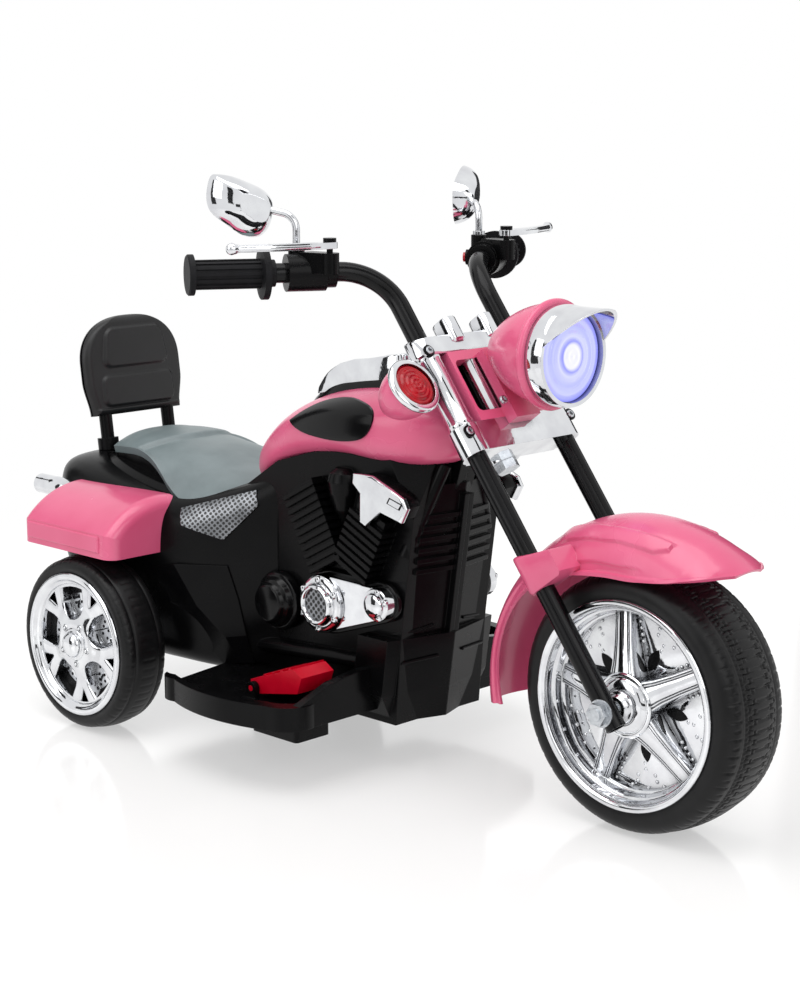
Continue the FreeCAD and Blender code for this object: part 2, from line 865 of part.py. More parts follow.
def rear_hubcap():
    # Outer face with five rounded windows, a perforated disc behind it, a bolted boss and a cap over the nut.
    side = rear_tyre_width / 2
    face_top = side - rear_face_depth + rear_face
    face_low = side - rear_face_depth
    back_top = face_low - rear_back_gap
    back_low = back_top - rear_back_plate
    seat = rear_seat_radius - seat_clearance
    hub_hole = rear_hub_radius + seat_clearance
    lip_inner = rear_rim_radius - rear_lip_width
    rim = turned([
        (hub_hole, back_low), (seat, back_low), (seat, side + seat_clearance),
        (rear_rim_radius, side + seat_clearance),
        ((rear_rim_radius - rear_lip / 3, side + rear_lip * lip_round_share),
         (rear_rim_radius - rear_lip, side + rear_lip)),
        (lip_inner, side + rear_lip), (seat - rear_lip, face_low), (seat - rear_lip, back_top),
        (hub_hole, back_top),
    ], vec(0, 0, 0), upward)
    vents = []
    for ring_index, radius in enumerate(rear_vent_rings):
        for index in range(rear_vents_per_ring):
            turn = 2 * math.pi * (index + ring_index / 2) / rear_vents_per_ring
            place = vec(radius * math.cos(turn), radius * math.sin(turn), back_low - overrun)
            vents.append(rod(place, place + vec(0, 0, rear_back_plate + 2 * overrun), rear_vent_radius))
    rim = rim.cut(Part.makeCompound(vents))
    face = ring(seat, hub_hole, vec(0, 0, face_low), vec(0, 0, face_top))
    windows = []
    for index in range(rear_spoke_count):
        windows.append(rear_window(face_low - overrun, rear_face + 2 * overrun,
                                   full_turn_deg * index / rear_spoke_count))
    face = face.cut(Part.makeCompound(windows))
    boss_top = face_top + rear_boss_height
    cap_top = boss_top + rear_cap_height
    cap_room = rear_cap_radius - rear_cap_wall
    boss = turned([
        (0, cap_top),
        ((rear_cap_radius * dome_middle_share, cap_top - rear_cap_wall * (1 - dome_rise_share)),
         (rear_cap_radius, cap_top - rear_cap_wall)),
        (rear_cap_radius, boss_top), (rear_boss_radius - rear_boss_height / 2, boss_top),
        (rear_boss_radius, face_top), (rear_boss_radius, back_low), (cap_room, back_low),
        (cap_room, cap_top - 2 * rear_cap_wall), (0, cap_top - 2 * rear_cap_wall),
    ], vec(0, 0, 0), upward)
    hub_room = rod(vec(0, 0, back_low - overrun), vec(0, 0, rear_hub_length / 2 + seat_clearance), hub_hole)
    bolts = []
    for index in range(rear_spoke_count):
        turn = 2 * math.pi * (index + 1 / 2) / rear_spoke_count
        place = vec(rear_bolt_ring * math.cos(turn), rear_bolt_ring * math.sin(turn), face_top)
        bolts.append(rod(place, place + vec(0, 0, rear_boss_height + rear_bolt_height), rear_bolt_radius))
    return fused([rim, face, boss.cut(hub_room)] + bolts)


def rear_window(low, depth, turn_deg):
    # A window shaped like a rounded wedge: a small arc near the hub and a larger one near the rim.
    inner = rear_window_inner
    outer = rear_window_outer
    steps = [
        vec(inner, -rear_window_inner_radius, low),
        vec(outer, -rear_window_outer_radius, low),
        (vec(outer + rear_window_inner_radius, 0, low), vec(outer, rear_window_outer_radius, low)),
        vec(inner, rear_window_inner_radius, low),
        (vec(inner - rear_window_inner_radius, 0, low), vec(inner, -rear_window_inner_radius, low)),
    ]
    window = Part.Face(traced_wire(steps)).extrude(vec(0, 0, depth))
    window.rotate(vec(0, 0, 0), upward, turn_deg)
    return window


def placed_cap(cap, centre, axis):
    shape = cap.copy()
    shape.Placement = FreeCAD.Placement(centre, FreeCAD.Rotation(upward, axis))
    return shape


def make_front_wheel(nodes):
    nodes["front_tyre"] = wheel_tyre(front_axle, front_tyre_radius, front_tyre_width, front_crown_width,
                                     front_crown_drop, front_shoulder_swell, front_rim_radius,
                                     front_seat_radius,
                                     front_web, front_hub_radius, front_hub_length)
    cap = front_hubcap()
    nodes["front_hubcaps"] = Part.makeCompound([placed_cap(cap, front_axle, -leftward),
                                                placed_cap(cap, front_axle, leftward)])


def make_rear_wheels(nodes):
    cap = rear_hubcap()
    for name, sign in (("right", -1), ("left", 1)):
        centre = rear_axle_place + leftward * (sign * rear_track / 2)
        nodes["rear_tyre_" + name] = wheel_tyre(centre, rear_tyre_radius, rear_tyre_width, rear_crown_width,
                                                rear_crown_drop, rear_shoulder_swell, rear_rim_radius,
                                                rear_seat_radius, rear_web, rear_hub_radius, rear_hub_length)
        nodes["rear_hubcap_" + name] = placed_cap(cap, centre, leftward * sign)


def make_axles(nodes):
    leg_out = fork_half_spacing + tube_radius
    end = leg_out + axle_washer + axle_nut_height + axle_washer
    bolt = rod(front_axle - leftward * end, front_axle + leftward * end, axle_radius)
    pieces = [bolt]
    for sign in (-1, 1):
        out = leftward * sign
        washer_at = front_axle + out * leg_out
        pieces.append(rod(washer_at, washer_at + out * axle_washer, axle_washer_radius))
        nut_at = washer_at + out * axle_washer
        pieces.append(polygon_bar(nut_sides, axle_nut_radius, nut_at, nut_at + out * axle_nut_height))
        spacer_low = front_hub_length / 2 + seat_clearance
        spacer_high = fork_half_spacing - tube_radius
        pieces.append(rod(front_axle + out * spacer_low, front_axle + out * spacer_high,
                          axle_radius + axle_washer))
    nodes["front_axle"] = fused(pieces)
    hub_out = rear_track / 2 + rear_hub_length / 2
    hub_in = rear_track / 2 - rear_hub_length / 2
    rear_end = hub_out + seat_clearance + axle_washer + axle_nut_height
    pieces = [rod(rear_axle_place - leftward * rear_end, rear_axle_place + leftward * rear_end, axle_radius)]
    for sign in (-1, 1):
        out = leftward * sign
        washer_at = rear_axle_place + out * (hub_out + seat_clearance)
        pieces.append(rod(washer_at, washer_at + out * axle_washer, axle_nut_radius))
        nut_at = washer_at + out * axle_washer
        pieces.append(polygon_bar(nut_sides, axle_nut_radius - axle_washer, nut_at,
                                  nut_at + out * (axle_nut_height - axle_washer)))
        collar_at = rear_axle_place + out * (hub_in - seat_clearance)
        pieces.append(rod(collar_at - out * axle_nut_height, collar_at, axle_nut_radius))
    nodes["rear_axle"] = fused(pieces)


def fork_leg(side):
    leg = ring(tube_radius, tube_radius - tube_wall, vec(0, side, -leg_below_axle), vec(0, side, leg_top_up))
    cross = rod(vec(0, side - tube_radius - overrun, 0), vec(0, side + tube_radius + overrun, 0),
                axle_radius)
    return on_fork(leg.cut(cross))


def clamp_plate(up, height):
    # Two round ends on the legs, a waisted bar between them and a boss round the stem.
    front = [
        vec(-clamp_rear, -fork_half_spacing, up), vec(clamp_front, -fork_half_spacing, up),
        vec(clamp_front, fork_half_spacing, up), vec(-clamp_rear, fork_half_spacing, up),
    ]
    solids = [prism(front, vec(0, 0, height))]
    for side in (-fork_half_spacing, fork_half_spacing):
        solids.append(rod(vec(0, side, up), vec(0, side, up + height), clamp_radius))
    boss_radius = stem_nut_radius + clamp_fillet
    solids.append(rod(vec(-stem_offset, 0, up), vec(-stem_offset, 0, up + height), boss_radius))
    plate = fused(solids)
    bores = [rod(vec(-stem_offset, 0, up - overrun), vec(-stem_offset, 0, up + height + overrun),
                 stem_radius)]
    for side in (-fork_half_spacing, fork_half_spacing):
        bores.append(rod(vec(0, side, up - overrun), vec(0, side, up + height + overrun), tube_radius))
    return plate.cut(Part.makeCompound(bores))


def make_fork(nodes):
    nodes["fork_tubes"] = Part.makeCompound([fork_leg(-fork_half_spacing), fork_leg(fork_half_spacing)])
    lower_top = lower_clamp_up + lower_clamp_height
    nodes["lower_clamp"] = on_fork(clamp_plate(lower_clamp_up, lower_clamp_height))
    upper_top = upper_clamp_up + upper_clamp_height
    upper = [clamp_plate(upper_clamp_up, upper_clamp_height)]
    for side in (-fork_half_spacing, fork_half_spacing):
        upper.append(ring(sleeve_radius, tube_radius, vec(0, side, lower_top), vec(0, side, upper_clamp_up)))
    for side in (-gauge_spacing / 2, gauge_spacing / 2):
        low = vec(clamp_front - gauge_length / 2, side, upper_top + gauge_radius - gauge_sink)
        upper.append(rod(low, low + vec(gauge_length, 0, 0), gauge_radius))
    nodes["upper_clamp"] = on_fork(fused(upper))
    stem_low = lower_clamp_up - stem_nut_height
    stem_high = upper_top + stem_nut_height / 2
    stem = rod(vec(-stem_offset, 0, stem_low), vec(-stem_offset, 0, stem_high), stem_radius)
    nut = polygon_bar(nut_sides, stem_nut_radius, vec(-stem_offset, 0, stem_low),
                      vec(-stem_offset, 0, lower_clamp_up))
    cap = rod(vec(-stem_offset, 0, upper_top), vec(-stem_offset, 0, stem_high), stem_nut_radius)
    nodes["steering_stem"] = on_fork(fused([stem, nut, cap]))
    bush = ring(head_bush_radius, stem_radius + running_clearance,
                vec(-stem_offset, 0, lower_top + head_bush_gap),
                vec(-stem_offset, 0, upper_clamp_up - head_bush_gap))
    nodes["head_bush"] = on_fork(bush)


def make_head_shroud(nodes):
    # Moulded frame between the clamps with a window each side of the post that carries the headlight.
    low = lower_clamp_up + lower_clamp_height
    high = upper_clamp_up
    front = clamp_front
    plate = block(vec(front - shroud_depth, -shroud_half_width, low), vec(front, shroud_half_width, high))
    foot = block(vec(front, -shroud_foot_width / 2, low - shroud_foot_drop),
                 vec(front + shroud_depth, shroud_foot_width / 2, high - shroud_foot_drop))
    middle = (low + high) / 2
    windows = []
    for sign in (-1, 1):
        centre = sign * (shroud_post + shroud_window_width / 2)
        opening = block(vec(front - shroud_depth - overrun, centre - shroud_window_width / 2,
                            middle - shroud_window_height / 2),
                        vec(front + overrun, centre + shroud_window_width / 2,
                            middle + shroud_window_height / 2))
        edges = [edge for edge in opening.Edges if abs(edge.tangentAt(edge.FirstParameter).x) > abs(
            edge.tangentAt(edge.FirstParameter).y) + abs(edge.tangentAt(edge.FirstParameter).z)]
        windows.append(opening.makeFillet(shroud_window_radius, edges))
    shroud = fused([plate, foot]).cut(Part.makeCompound(windows))
    shroud = on_fork(shroud)
    nodes["head_shroud"] = shroud.cut(headlight_solid())


def headlight_solid():
    # The filled outside of the headlight bowl, used for the bowl and for the arm that meets it.
    radius = headlight_radius
    back = -headlight_depth
    return turned([
        (0, back), (headlight_back_radius, back),
        ((radius * headlight_waist_share, back * headlight_waist_back_share),
         (radius, -headlight_flare_width - bezel_width)),
        (radius, -bezel_width), (0, -bezel_width),
    ], vec(headlight_lens_x, 0, headlight_height), ahead)


def make_headlight(nodes):
    centre = vec(headlight_lens_x, 0, headlight_height)
    radius = headlight_radius
    wall = headlight_wall
    back = -headlight_depth
    inner = turned([
        (0, back + wall), (headlight_back_radius - wall, back + wall),
        ((radius * headlight_waist_share - wall, back * headlight_waist_back_share + wall),
         (radius - wall, -headlight_flare_width - bezel_width)),
        (radius - wall, overrun - bezel_width), (0, overrun - bezel_width),
    ], centre, ahead)
    flare_back = -bezel_width - headlight_flare_width
    flare = turned([
        (radius - wall, flare_back), (radius, flare_back),
        ((radius + headlight_flare, flare_back + headlight_flare_width / 2), (radius, -bezel_width)),
        (radius - wall, -bezel_width),
    ], centre, ahead)
    nodes["headlight_shell"] = fused([headlight_solid().cut(inner), flare])
    bezel_outer = radius - wall / 2
    bezel_inner = bezel_outer - bezel_wall
    bezel = turned([
        (bezel_inner, -bezel_width), (bezel_outer, -bezel_width),
        ((bezel_outer + wall / 3, -bezel_width / 2), (bezel_outer, 0)), (bezel_inner, 0),
    ], centre, ahead)
    visor = ring(bezel_outer, bezel_outer - visor_wall, centre, centre + ahead * visor_length)
    low_at = bezel_outer * visor_low_share
    top_at = bezel_outer + overrun
    away = [
        vec(headlight_lens_x, -top_at, headlight_height + low_at),
        vec(headlight_lens_x, -top_at, headlight_height - top_at),
        vec(headlight_lens_x + visor_length + overrun, -top_at, headlight_height - top_at),
        vec(headlight_lens_x + visor_length + overrun, -top_at, headlight_height + top_at),
        vec(headlight_lens_x + visor_length, -top_at, headlight_height + bezel_outer * visor_tip_share),
    ]
    visor = visor.cut(prism(away, vec(0, 2 * top_at, 0)))
    nodes["headlight_bezel"] = fused([bezel, visor])
    glass = bezel_inner - seat_clearance
    lens_back = -bezel_width / 2
    lens_top = lens_back + lens_thickness
    nodes["headlight_lens"] = turned([
        (0, lens_top + lens_bulge),
        ((glass * dome_middle_share, lens_top + lens_bulge * dome_rise_share), (glass, lens_top)),
        (glass, lens_back), (0, lens_back),
    ], centre, ahead)
    mouth = -bezel_width / 2 - seat_clearance
    bowl_back = mouth - reflector_depth
    floor = bowl_back + reflector_wall
    waist = glass * reflector_waist_share
    nodes["headlight_reflector"] = turned([
        (0, floor + led_radius),
        ((led_radius * dome_middle_share, floor + led_radius * dome_rise_share), (led_radius, floor)),
        (reflector_floor_radius, floor),
        ((waist - reflector_wall, mouth - reflector_depth / 2 + reflector_wall),
         (glass - reflector_wall, mouth)),
        (glass, mouth), ((waist, mouth - reflector_depth / 2), (reflector_floor_radius, bowl_back)),
        (0, bowl_back),
    ], centre, ahead)


def make_turn_signals(nodes):
    centre = vec(signal_front, -signal_side, signal_up)
    radius = signal_radius
    wall = signal_wall
    shell = turned([
        (0, -signal_depth), (signal_back_radius, -signal_depth),
        ((radius * signal_waist_share, -signal_depth * signal_waist_back_share), (radius, 0)),
        (radius - wall, 0),
        ((radius * signal_waist_share - wall, wall - signal_depth * signal_waist_back_share),
         (signal_back_radius - wall, wall - signal_depth)),
        (0, wall - signal_depth),
    ], centre, ahead)
    arm_ahead = signal_front - signal_arm_back
    arm = rod(vec(arm_ahead, -signal_side + radius * signal_arm_share, signal_up),
              vec(arm_ahead, -fork_half_spacing, signal_up), signal_arm_radius)
    arm = arm.cut(rod(vec(0, -fork_half_spacing, lower_clamp_up), vec(0, -fork_half_spacing, upper_clamp_up),
                      sleeve_radius))
    rim = turned([
        (radius - wall, 0), (radius + signal_rim, 0),
        ((radius + signal_rim, signal_rim_width * signal_rim_share), (radius, signal_rim_width)),
        (radius - wall, signal_rim_width),
    ], centre, ahead)
    glass = radius - wall - seat_clearance
    lens = turned([
        (0, signal_lens + signal_lens_bulge),
        ((glass * dome_middle_share, signal_lens + signal_lens_bulge * dome_rise_share),
         (glass, signal_lens)),
        (glass, 0), (0, 0),
    ], centre, ahead)
    for name, solid in (("shells", fused([shell, arm])), ("rims", rim), ("lenses", lens)):
        nodes["turn_signal_" + name] = Part.makeCompound(both_sides(on_fork(solid)))


def bar_point(reach):
    return fork_point(0, -fork_half_spacing, bar_corner_up) + bar_outward * reach


def make_handlebar(nodes):
    route = [fork_point(0, -fork_half_spacing, leg_top_up + leg_gap), bar_point(0), bar_point(bar_reach)]
    tube = bent_rod(route, bar_bend, tube_radius).cut(bent_rod(route, bar_bend, tube_radius - tube_wall))
    nodes["handlebar_tubes"] = Part.makeCompound(both_sides(tube))
    grip_start = bar_reach + grip_stop_gap + grip_end / 2 - grip_length
    start = bar_point(grip_start)
    end_floor = bar_reach + grip_stop_gap - grip_start
    bore = tube_radius
    body = turned([
        (bore, 0), (grip_radius, 0), (grip_radius, grip_neck), (grip_flange_radius, grip_neck),
        (grip_flange_radius, grip_neck + grip_flange), (grip_radius, grip_neck + grip_flange + grip_rib),
        (grip_radius, grip_length - grip_end), (grip_end_radius, grip_length - grip_end),
        (grip_end_radius, grip_length - grip_rib), (grip_end_radius - grip_rib, grip_length),
        (0, grip_length),
        (0, end_floor), (bore, end_floor),
    ], start, bar_outward)
    ribs = []
    for index in range(grip_rib_count):
        rib = Part.makeBox(grip_rib + tube_wall, grip_rib_width,
                           grip_length - grip_end - grip_neck - grip_flange,
                           vec(grip_radius - tube_wall, -grip_rib_width / 2, grip_neck + grip_flange))
        rib.rotate(vec(0, 0, 0), upward, full_turn_deg * index / grip_rib_count)
        rib.Placement = FreeCAD.Placement(start,
                                          FreeCAD.Rotation(upward, bar_outward)).multiply(rib.Placement)
        ribs.append(rib)
    nodes["grips"] = Part.makeCompound(both_sides(fused([body] + ribs)))


def lever_pivot():
    return bar_point(perch_reach) + vec(lever_pivot_ahead, lever_pivot_in, lever_height)


def mirror_base():
    return bar_point(perch_reach) - vec(mirror_base_back, 0, 0)


def button_axis():
    # The hand buttons face the rider, square to the bar.
    return vec(-math.cos(bar_sweep), math.sin(bar_sweep), 0)


def button_face():
    return bar_point(perch_reach) + button_axis() * (perch_radius + button_rim_radius / 2)


def make_perches(nodes):
    half = perch_length / 2
    housing = turned([
        (tube_radius, -half - perch_collar_length), (perch_collar_radius, -half - perch_collar_length),
        (perch_collar_radius, -half), (perch_radius, -half), (perch_radius, half), (tube_radius, half),
    ], bar_point(perch_reach), bar_outward)
    pivot = lever_pivot()
    centre = bar_point(perch_reach)
    low = pivot.z - bracket_plate
    arm = prism([
        vec(centre.x, centre.y - half / 2, centre.z), vec(pivot.x, pivot.y - lever_boss_radius, centre.z),
        vec(pivot.x, pivot.y + lever_boss_radius, centre.z), vec(centre.x, centre.y + half / 2, centre.z),
    ], vec(0, 0, low - centre.z))
    boss = rod(vec(pivot.x, pivot.y, centre.z), vec(pivot.x, pivot.y, low), lever_boss_radius)
    pin = rod(vec(pivot.x, pivot.y, low), vec(pivot.x, pivot.y, pivot.z + lever_thickness + bracket_plate),
              lever_pin_radius)
    pin_cap = rod(vec(pivot.x, pivot.y, pivot.z + lever_thickness + lever_gap),
                  vec(pivot.x, pivot.y, pivot.z + lever_thickness + bracket_plate),
                  lever_boss_radius * lever_cap_share)
    base = mirror_base()
    socket = rod(base, base + upward * mirror_base_top, mirror_base_radius)
    face = button_face()
    rim = rod(centre, face, button_rim_radius)
    hole = rod(face - button_axis() * (button_length - button_proud + button_travel + seat_clearance),
               face + button_axis() * overrun, button_radius + button_clearance)
    bar_room = rod(bar_point(perch_reach - perch_length), bar_point(perch_reach + perch_length), tube_radius)
    perch = fused([housing, arm, boss, pin, pin_cap, socket, rim]).cut(Part.makeCompound([hole, bar_room]))
    nodes["control_perches"] = Part.makeCompound(both_sides(perch))
    button = rod(face - button_axis() * (button_length - button_proud), face + button_axis() * button_proud,
                 button_radius)
    nodes["horn_button"] = button
    nodes["music_button"] = mirrored(button)


def make_levers(nodes):
    pivot = lever_pivot()
    out = lever_length
    root = lever_root_width / 2
    tip = lever_tip_width / 2
    steps = [
        vec(0, root, 0), (vec(-root, 0, 0), vec(0, -root, 0)),
        (vec(out / 2, lever_bow - (root + tip) / 2, 0), vec(out, -tip, 0)), vec(out, tip, 0),
        (vec(out / 2, lever_bow + (root + tip) / 2, 0), vec(0, root, 0)),
    ]
    blade = Part.Face(traced_wire(steps)).extrude(vec(0, 0, lever_thickness))
    ball = Part.makeSphere(lever_ball_radius, vec(out, 0, lever_thickness / 2))
    hole = rod(vec(0, 0, -overrun), vec(0, 0, lever_thickness + overrun),
               lever_pin_radius + running_clearance)
    lever = fused([blade, ball]).cut(hole)
    turn = FreeCAD.Rotation(upward, -quarter_turn_deg - lever_sweep_deg)
    lever.Placement = FreeCAD.Placement(pivot + upward * (lever_gap / 2), turn)
    nodes["lever_right"] = lever
    nodes["lever_left"] = mirrored(lever)


def mirror_outline(size, middle, depth):
    # The tapering outline of the head, made smaller about a middle, in a plane behind the rim.
    points = []
    for across, rise in mirror_outline_shares:
        out = middle[0] + (across - middle[0]) * size
        high = middle[1] + (rise - middle[1]) * size
        points.append(vec(high * mirror_height / 2, out * mirror_width / 2, -depth))
    return smooth_wire(points, False)


def make_mirrors(nodes):
    base = mirror_base()
    foot = base + upward * (mirror_base_top + lever_gap)
    yaw = math.radians(mirror_yaw_deg)
    facing = vec(-math.cos(yaw), math.sin(yaw), 0)
    inboard = facing.cross(upward)
    centre = base + vec(-mirror_back, -mirror_out, mirror_rise)
    elbow = base + upward * (mirror_base_top + mirror_stem_rise)
    apex = centre + inboard * (mirror_apex_shares[0] * mirror_width / 2)
    apex += upward * (mirror_apex_shares[1] * mirror_height / 2)
    head_back = apex - facing * (mirror_depth * mirror_stem_share)
    stem = bent_rod([foot, elbow, head_back], mirror_bend, mirror_stem_radius)
    collar = rod(foot, foot + upward * mirror_stem_radius, mirror_base_radius * mirror_collar_share)
    wires = []
    for depth, size in zip(mirror_depth_shares, mirror_size_shares):
        wires.append(mirror_outline(size, mirror_apex_shares, depth * mirror_depth))
    pocket_depth = mirror_glass + mirror_glass_recess
    pocket = Part.Face(mirror_outline(mirror_glass_share, (0, 0), pocket_depth))
    pocket = pocket.extrude(vec(0, 0, pocket_depth + overrun))
    head = Part.makeLoft(wires, True, False).cut(pocket)
    glass_share = mirror_glass_share - 2 * seat_clearance / mirror_width
    face = Part.Face(mirror_outline(glass_share, (0, 0), pocket_depth)).extrude(vec(0, 0, mirror_glass))
    stand = FreeCAD.Placement(centre, FreeCAD.Rotation(upward, inboard, facing, "ZXY"))
    head.Placement = stand
    face.Placement = stand
    head = fused([head, stem, collar])
    nodes["mirror_right"] = head
    nodes["mirror_glass_right"] = face
    nodes["mirror_left"] = mirrored(head)
    nodes["mirror_glass_left"] = mirrored(face)


def make_fender(nodes):
    wires = []
    for turn_deg, width, edge, crown in zip(fender_stations_deg, fender_width_shares, fender_edge_shares,
                                            fender_crown_shares):
        turn = math.radians(turn_deg)
        outward = vec(math.cos(turn), 0, math.sin(turn))
        half = fender_half_width * width
        edge_radius = fender_crown_radius * edge
        crown_radius = fender_crown_radius * crown
        inner = half - fender_wall
        points = [
            front_axle + outward * edge_radius - leftward * half,
            (front_axle + outward * crown_radius, front_axle + outward * edge_radius + leftward * half),
            front_axle + outward * edge_radius + leftward * inner,
            (front_axle + outward * (crown_radius - fender_wall),
             front_axle + outward * edge_radius - leftward * inner),
        ]
        wires.append(traced_wire(points))
    shell = Part.makeLoft(wires, True, False)
    pieces = [shell]
    low = fender_sleeve_up - fender_sleeve_length / 2
    for side in (-fork_half_spacing, fork_half_spacing):
        pieces.append(on_fork(rod(vec(0, side, low), vec(0, side, low + fender_sleeve_length),
                                  fender_sleeve_radius)))
    fender = pieces[0].multiFuse(pieces[1:])
    room = []
    for side in (-fork_half_spacing, fork_half_spacing):
        room.append(on_fork(rod(vec(0, side, low - overrun),
                                vec(0, side, low + fender_sleeve_length + overrun),
                                tube_radius)))
    nodes["front_fender"] = fender.cut(Part.makeCompound(room))


@functools.cache
def block_form(grow):
    points = []
    for along, rise in block_outline_shares:
        x = block_rear_x + along * (block_front_x - block_rear_x)
        z = block_low + rise * (block_high - block_low)
        points.append(vec(x, -block_half_width - grow, z))
    outline = Part.makePolygon(points + [points[0]])
    if grow:
        outline = outline.makeOffset2D(grow, 0, False, False, False)
    form = Part.Face(outline).extrude(vec(0, 2 * (block_half_width + grow), 0))
    # A slanting facet takes off each upper front corner, under the narrowing tank.
    corner = vec(block_front_x, -block_half_width, block_high)
    along = corner - vec(shoulder_back, 0, 0)
    across = corner + vec(0, shoulder_in, 0)
    down = corner - vec(0, 0, shoulder_down)
    outward = (across - along).cross(down - along).normalize()
    if outward.x < 0:
        outward = -outward
    facet = prism([along, across, down], outward * shoulder_back)
    facet.translate(outward * grow)
    return form.cut(Part.makeCompound(both_sides(facet)))


def vee_section(x, z, half, vee, back):
    points = [vec(x - vee - back, -half, z), vec(x - vee, -half, z), vec(x, 0, z), vec(x - vee, half, z),
              vec(x - vee - back, half, z)]
    return Part.makePolygon(points + [points[0]])


def nose_x(z):
    return nose_low_x + nose_lean * (z - block_low) / (nose_top - block_low)


def nose_form():
    # A shallow wedge seen from above that leans forward, with louvres across it and a bumper below.
    heights = ((block_low, nose_half_width), (nose_shoulder, nose_half_width),
               (nose_top, nose_top_half_width))
    panel = Part.makeLoft([vee_section(nose_x(z), z, half, nose_vee, nose_back) for z, half in heights],
                          True, True)
    pieces = [panel]
    for index in range(louvre_count):
        low = louvre_low + index * louvre_pitch
        high = low + louvre_height
        half = nose_half_width
        if high > nose_shoulder:
            taper = (high - nose_shoulder) / (nose_top - nose_shoulder)
            half = nose_half_width - taper * (nose_half_width - nose_top_half_width)
        wires = [vee_section(nose_x(z) + louvre_depth, z, half - louvre_depth, nose_vee,
                             nose_back) for z in (low, high)]
        pieces.append(Part.makeLoft(wires, True, True))
    rib_low = bumper_top - overrun
    rib = [
        vec(nose_x(rib_low) - nose_vee, -nose_rib_half_width, rib_low),
        vec(nose_x(rib_low) + nose_rib_proud, -nose_rib_half_width, rib_low),
        vec(nose_x(nose_rib_top) + nose_rib_proud, -nose_rib_half_width, nose_rib_top),
        vec(nose_x(nose_rib_top) - nose_vee, -nose_rib_half_width, nose_rib_top),
    ]
    pieces.append(prism(rib, vec(0, 2 * nose_rib_half_width, 0)))
    levels = ((block_low, bumper_low_half_width), (bumper_waist, bumper_half_width),
              (bumper_top, bumper_half_width))
    pieces.append(Part.makeLoft([vee_section(nose_x(z) + bumper_proud, z, half, bumper_vee, bumper_back)
                                 for z, half in levels], True, True))
    return pieces


def finned_cylinder(x, tilt_deg, length):
    # A finned engine cylinder in relief on the right flank, leaning by its tilt in the side view.
    core = cylinder_width * cylinder_core_share
    pieces = [Part.makeBox(core, cylinder_depth, length, vec(-core / 2, -cylinder_depth + fin_height, 0))]
    count = int(length / fin_pitch)
    for index in range(count):
        pieces.append(Part.makeBox(cylinder_width, cylinder_depth + fin_height, fin_height,
                                   vec(-cylinder_width / 2, -cylinder_depth, index * fin_pitch)))
    cylinder = fused(pieces)
    cylinder.Placement = FreeCAD.Placement(vec(x, -block_half_width, cylinder_base),
                                           FreeCAD.Rotation(leftward, tilt_deg))
    return cylinder


def pod_form():
    # A pear-shaped cover between the two cylinders, pointed at the bottom.
    profile = [(radius * pod_radius, along * pod_length) for radius, along in pod_profile_shares]
    return turned(profile, vec(pod_x, -pod_side, pod_low), upward)


def neck_form():
    low_up = lower_clamp_up + lower_clamp_height + head_bush_gap
    high_up = upper_clamp_up - head_bush_gap
    back = -stem_offset - neck_back
    points = [
        fork_point(-stem_offset, -neck_half_width, low_up), fork_point(-stem_offset, -neck_half_width,
                                                                       high_up),
        fork_point(back, -neck_half_width, high_up), vec(nose_low_x - nose_back, -neck_half_width,
                                                         nose_shoulder),
        vec(nose_x(nose_shoulder) - nose_vee, -neck_half_width, nose_shoulder),
        fork_point(-stem_offset - stem_nut_radius - clamp_rear, -neck_half_width, low_up),
    ]
    neck = prism(points, vec(0, 2 * neck_half_width, 0))
    hole = rod(fork_point(-stem_offset, 0, low_up - overrun), fork_point(-stem_offset, 0, high_up + overrun),
               head_bush_radius)
    return neck.cut(hole)


@functools.cache
def body_outside():
    return block_form(0).multiFuse([rear_body_form(0)] + nose_form())


def make_body(nodes):
    tank = tank_form(0)
    outside = body_outside()
    cavity = block_form(-block_wall).fuse(rear_body_form(-rear_body_wall))
    pocket = seat_form(seat_thickness, seat_height)
    body = outside.cut(cavity).cut(tank).cut(pocket)
    relief = []
    for shape in (finned_cylinder(front_cylinder_x, front_cylinder_tilt_deg, front_cylinder_length),
                  finned_cylinder(rear_cylinder_x, rear_cylinder_tilt_deg, rear_cylinder_length)):
        relief += both_sides(shape.cut(tank).cut(clutch_cover()))
    relief += both_sides(rod(vec(exhaust_rear_x, -exhaust_side, exhaust_rear_height),
                             vec(exhaust_front_x, -exhaust_side, exhaust_front_height), exhaust_radius))
    relief += both_sides(pod_form().cut(tank))
    frame_tube = rod(vec(frame_tube_low_x, -frame_tube_low_side, frame_tube_low_height),
                     vec(frame_tube_top_x, -frame_tube_top_side, frame_tube_top_height), frame_tube_radius)
    relief += both_sides(frame_tube.cut(tank))
    neck = neck_form()
    body = body.multiFuse(relief + [neck])
    cuts = [rod(rear_axle_place - leftward * rear_track, rear_axle_place + leftward * rear_track,
                axle_radius)]
    for post in (-post_half_spacing, post_half_spacing):
        cuts.append(rod(post_place(post, post_foot), post_place(post, backrest_low), post_radius))
    body = body.cut(Part.makeCompound(cuts))
    right = body.common(right_half)
    socket_inside = vec(socket_x, 0, socket_height)
    socket_hole = rod(socket_inside, socket_inside + leftward * rear_body_half_width, socket_barrel_radius)
    nodes["body_shell_right"] = right
    nodes["body_shell_left"] = mirrored(right).cut(socket_hole)
    nodes["fuel_tank"] = tank.cut(tank_form(-tank_wall)).cut(neck)


def post_place(side, height):
    lean = math.tan(math.radians(backrest_lean_deg))
    return vec(backrest_x - (height - backrest_low) * lean, side, height)


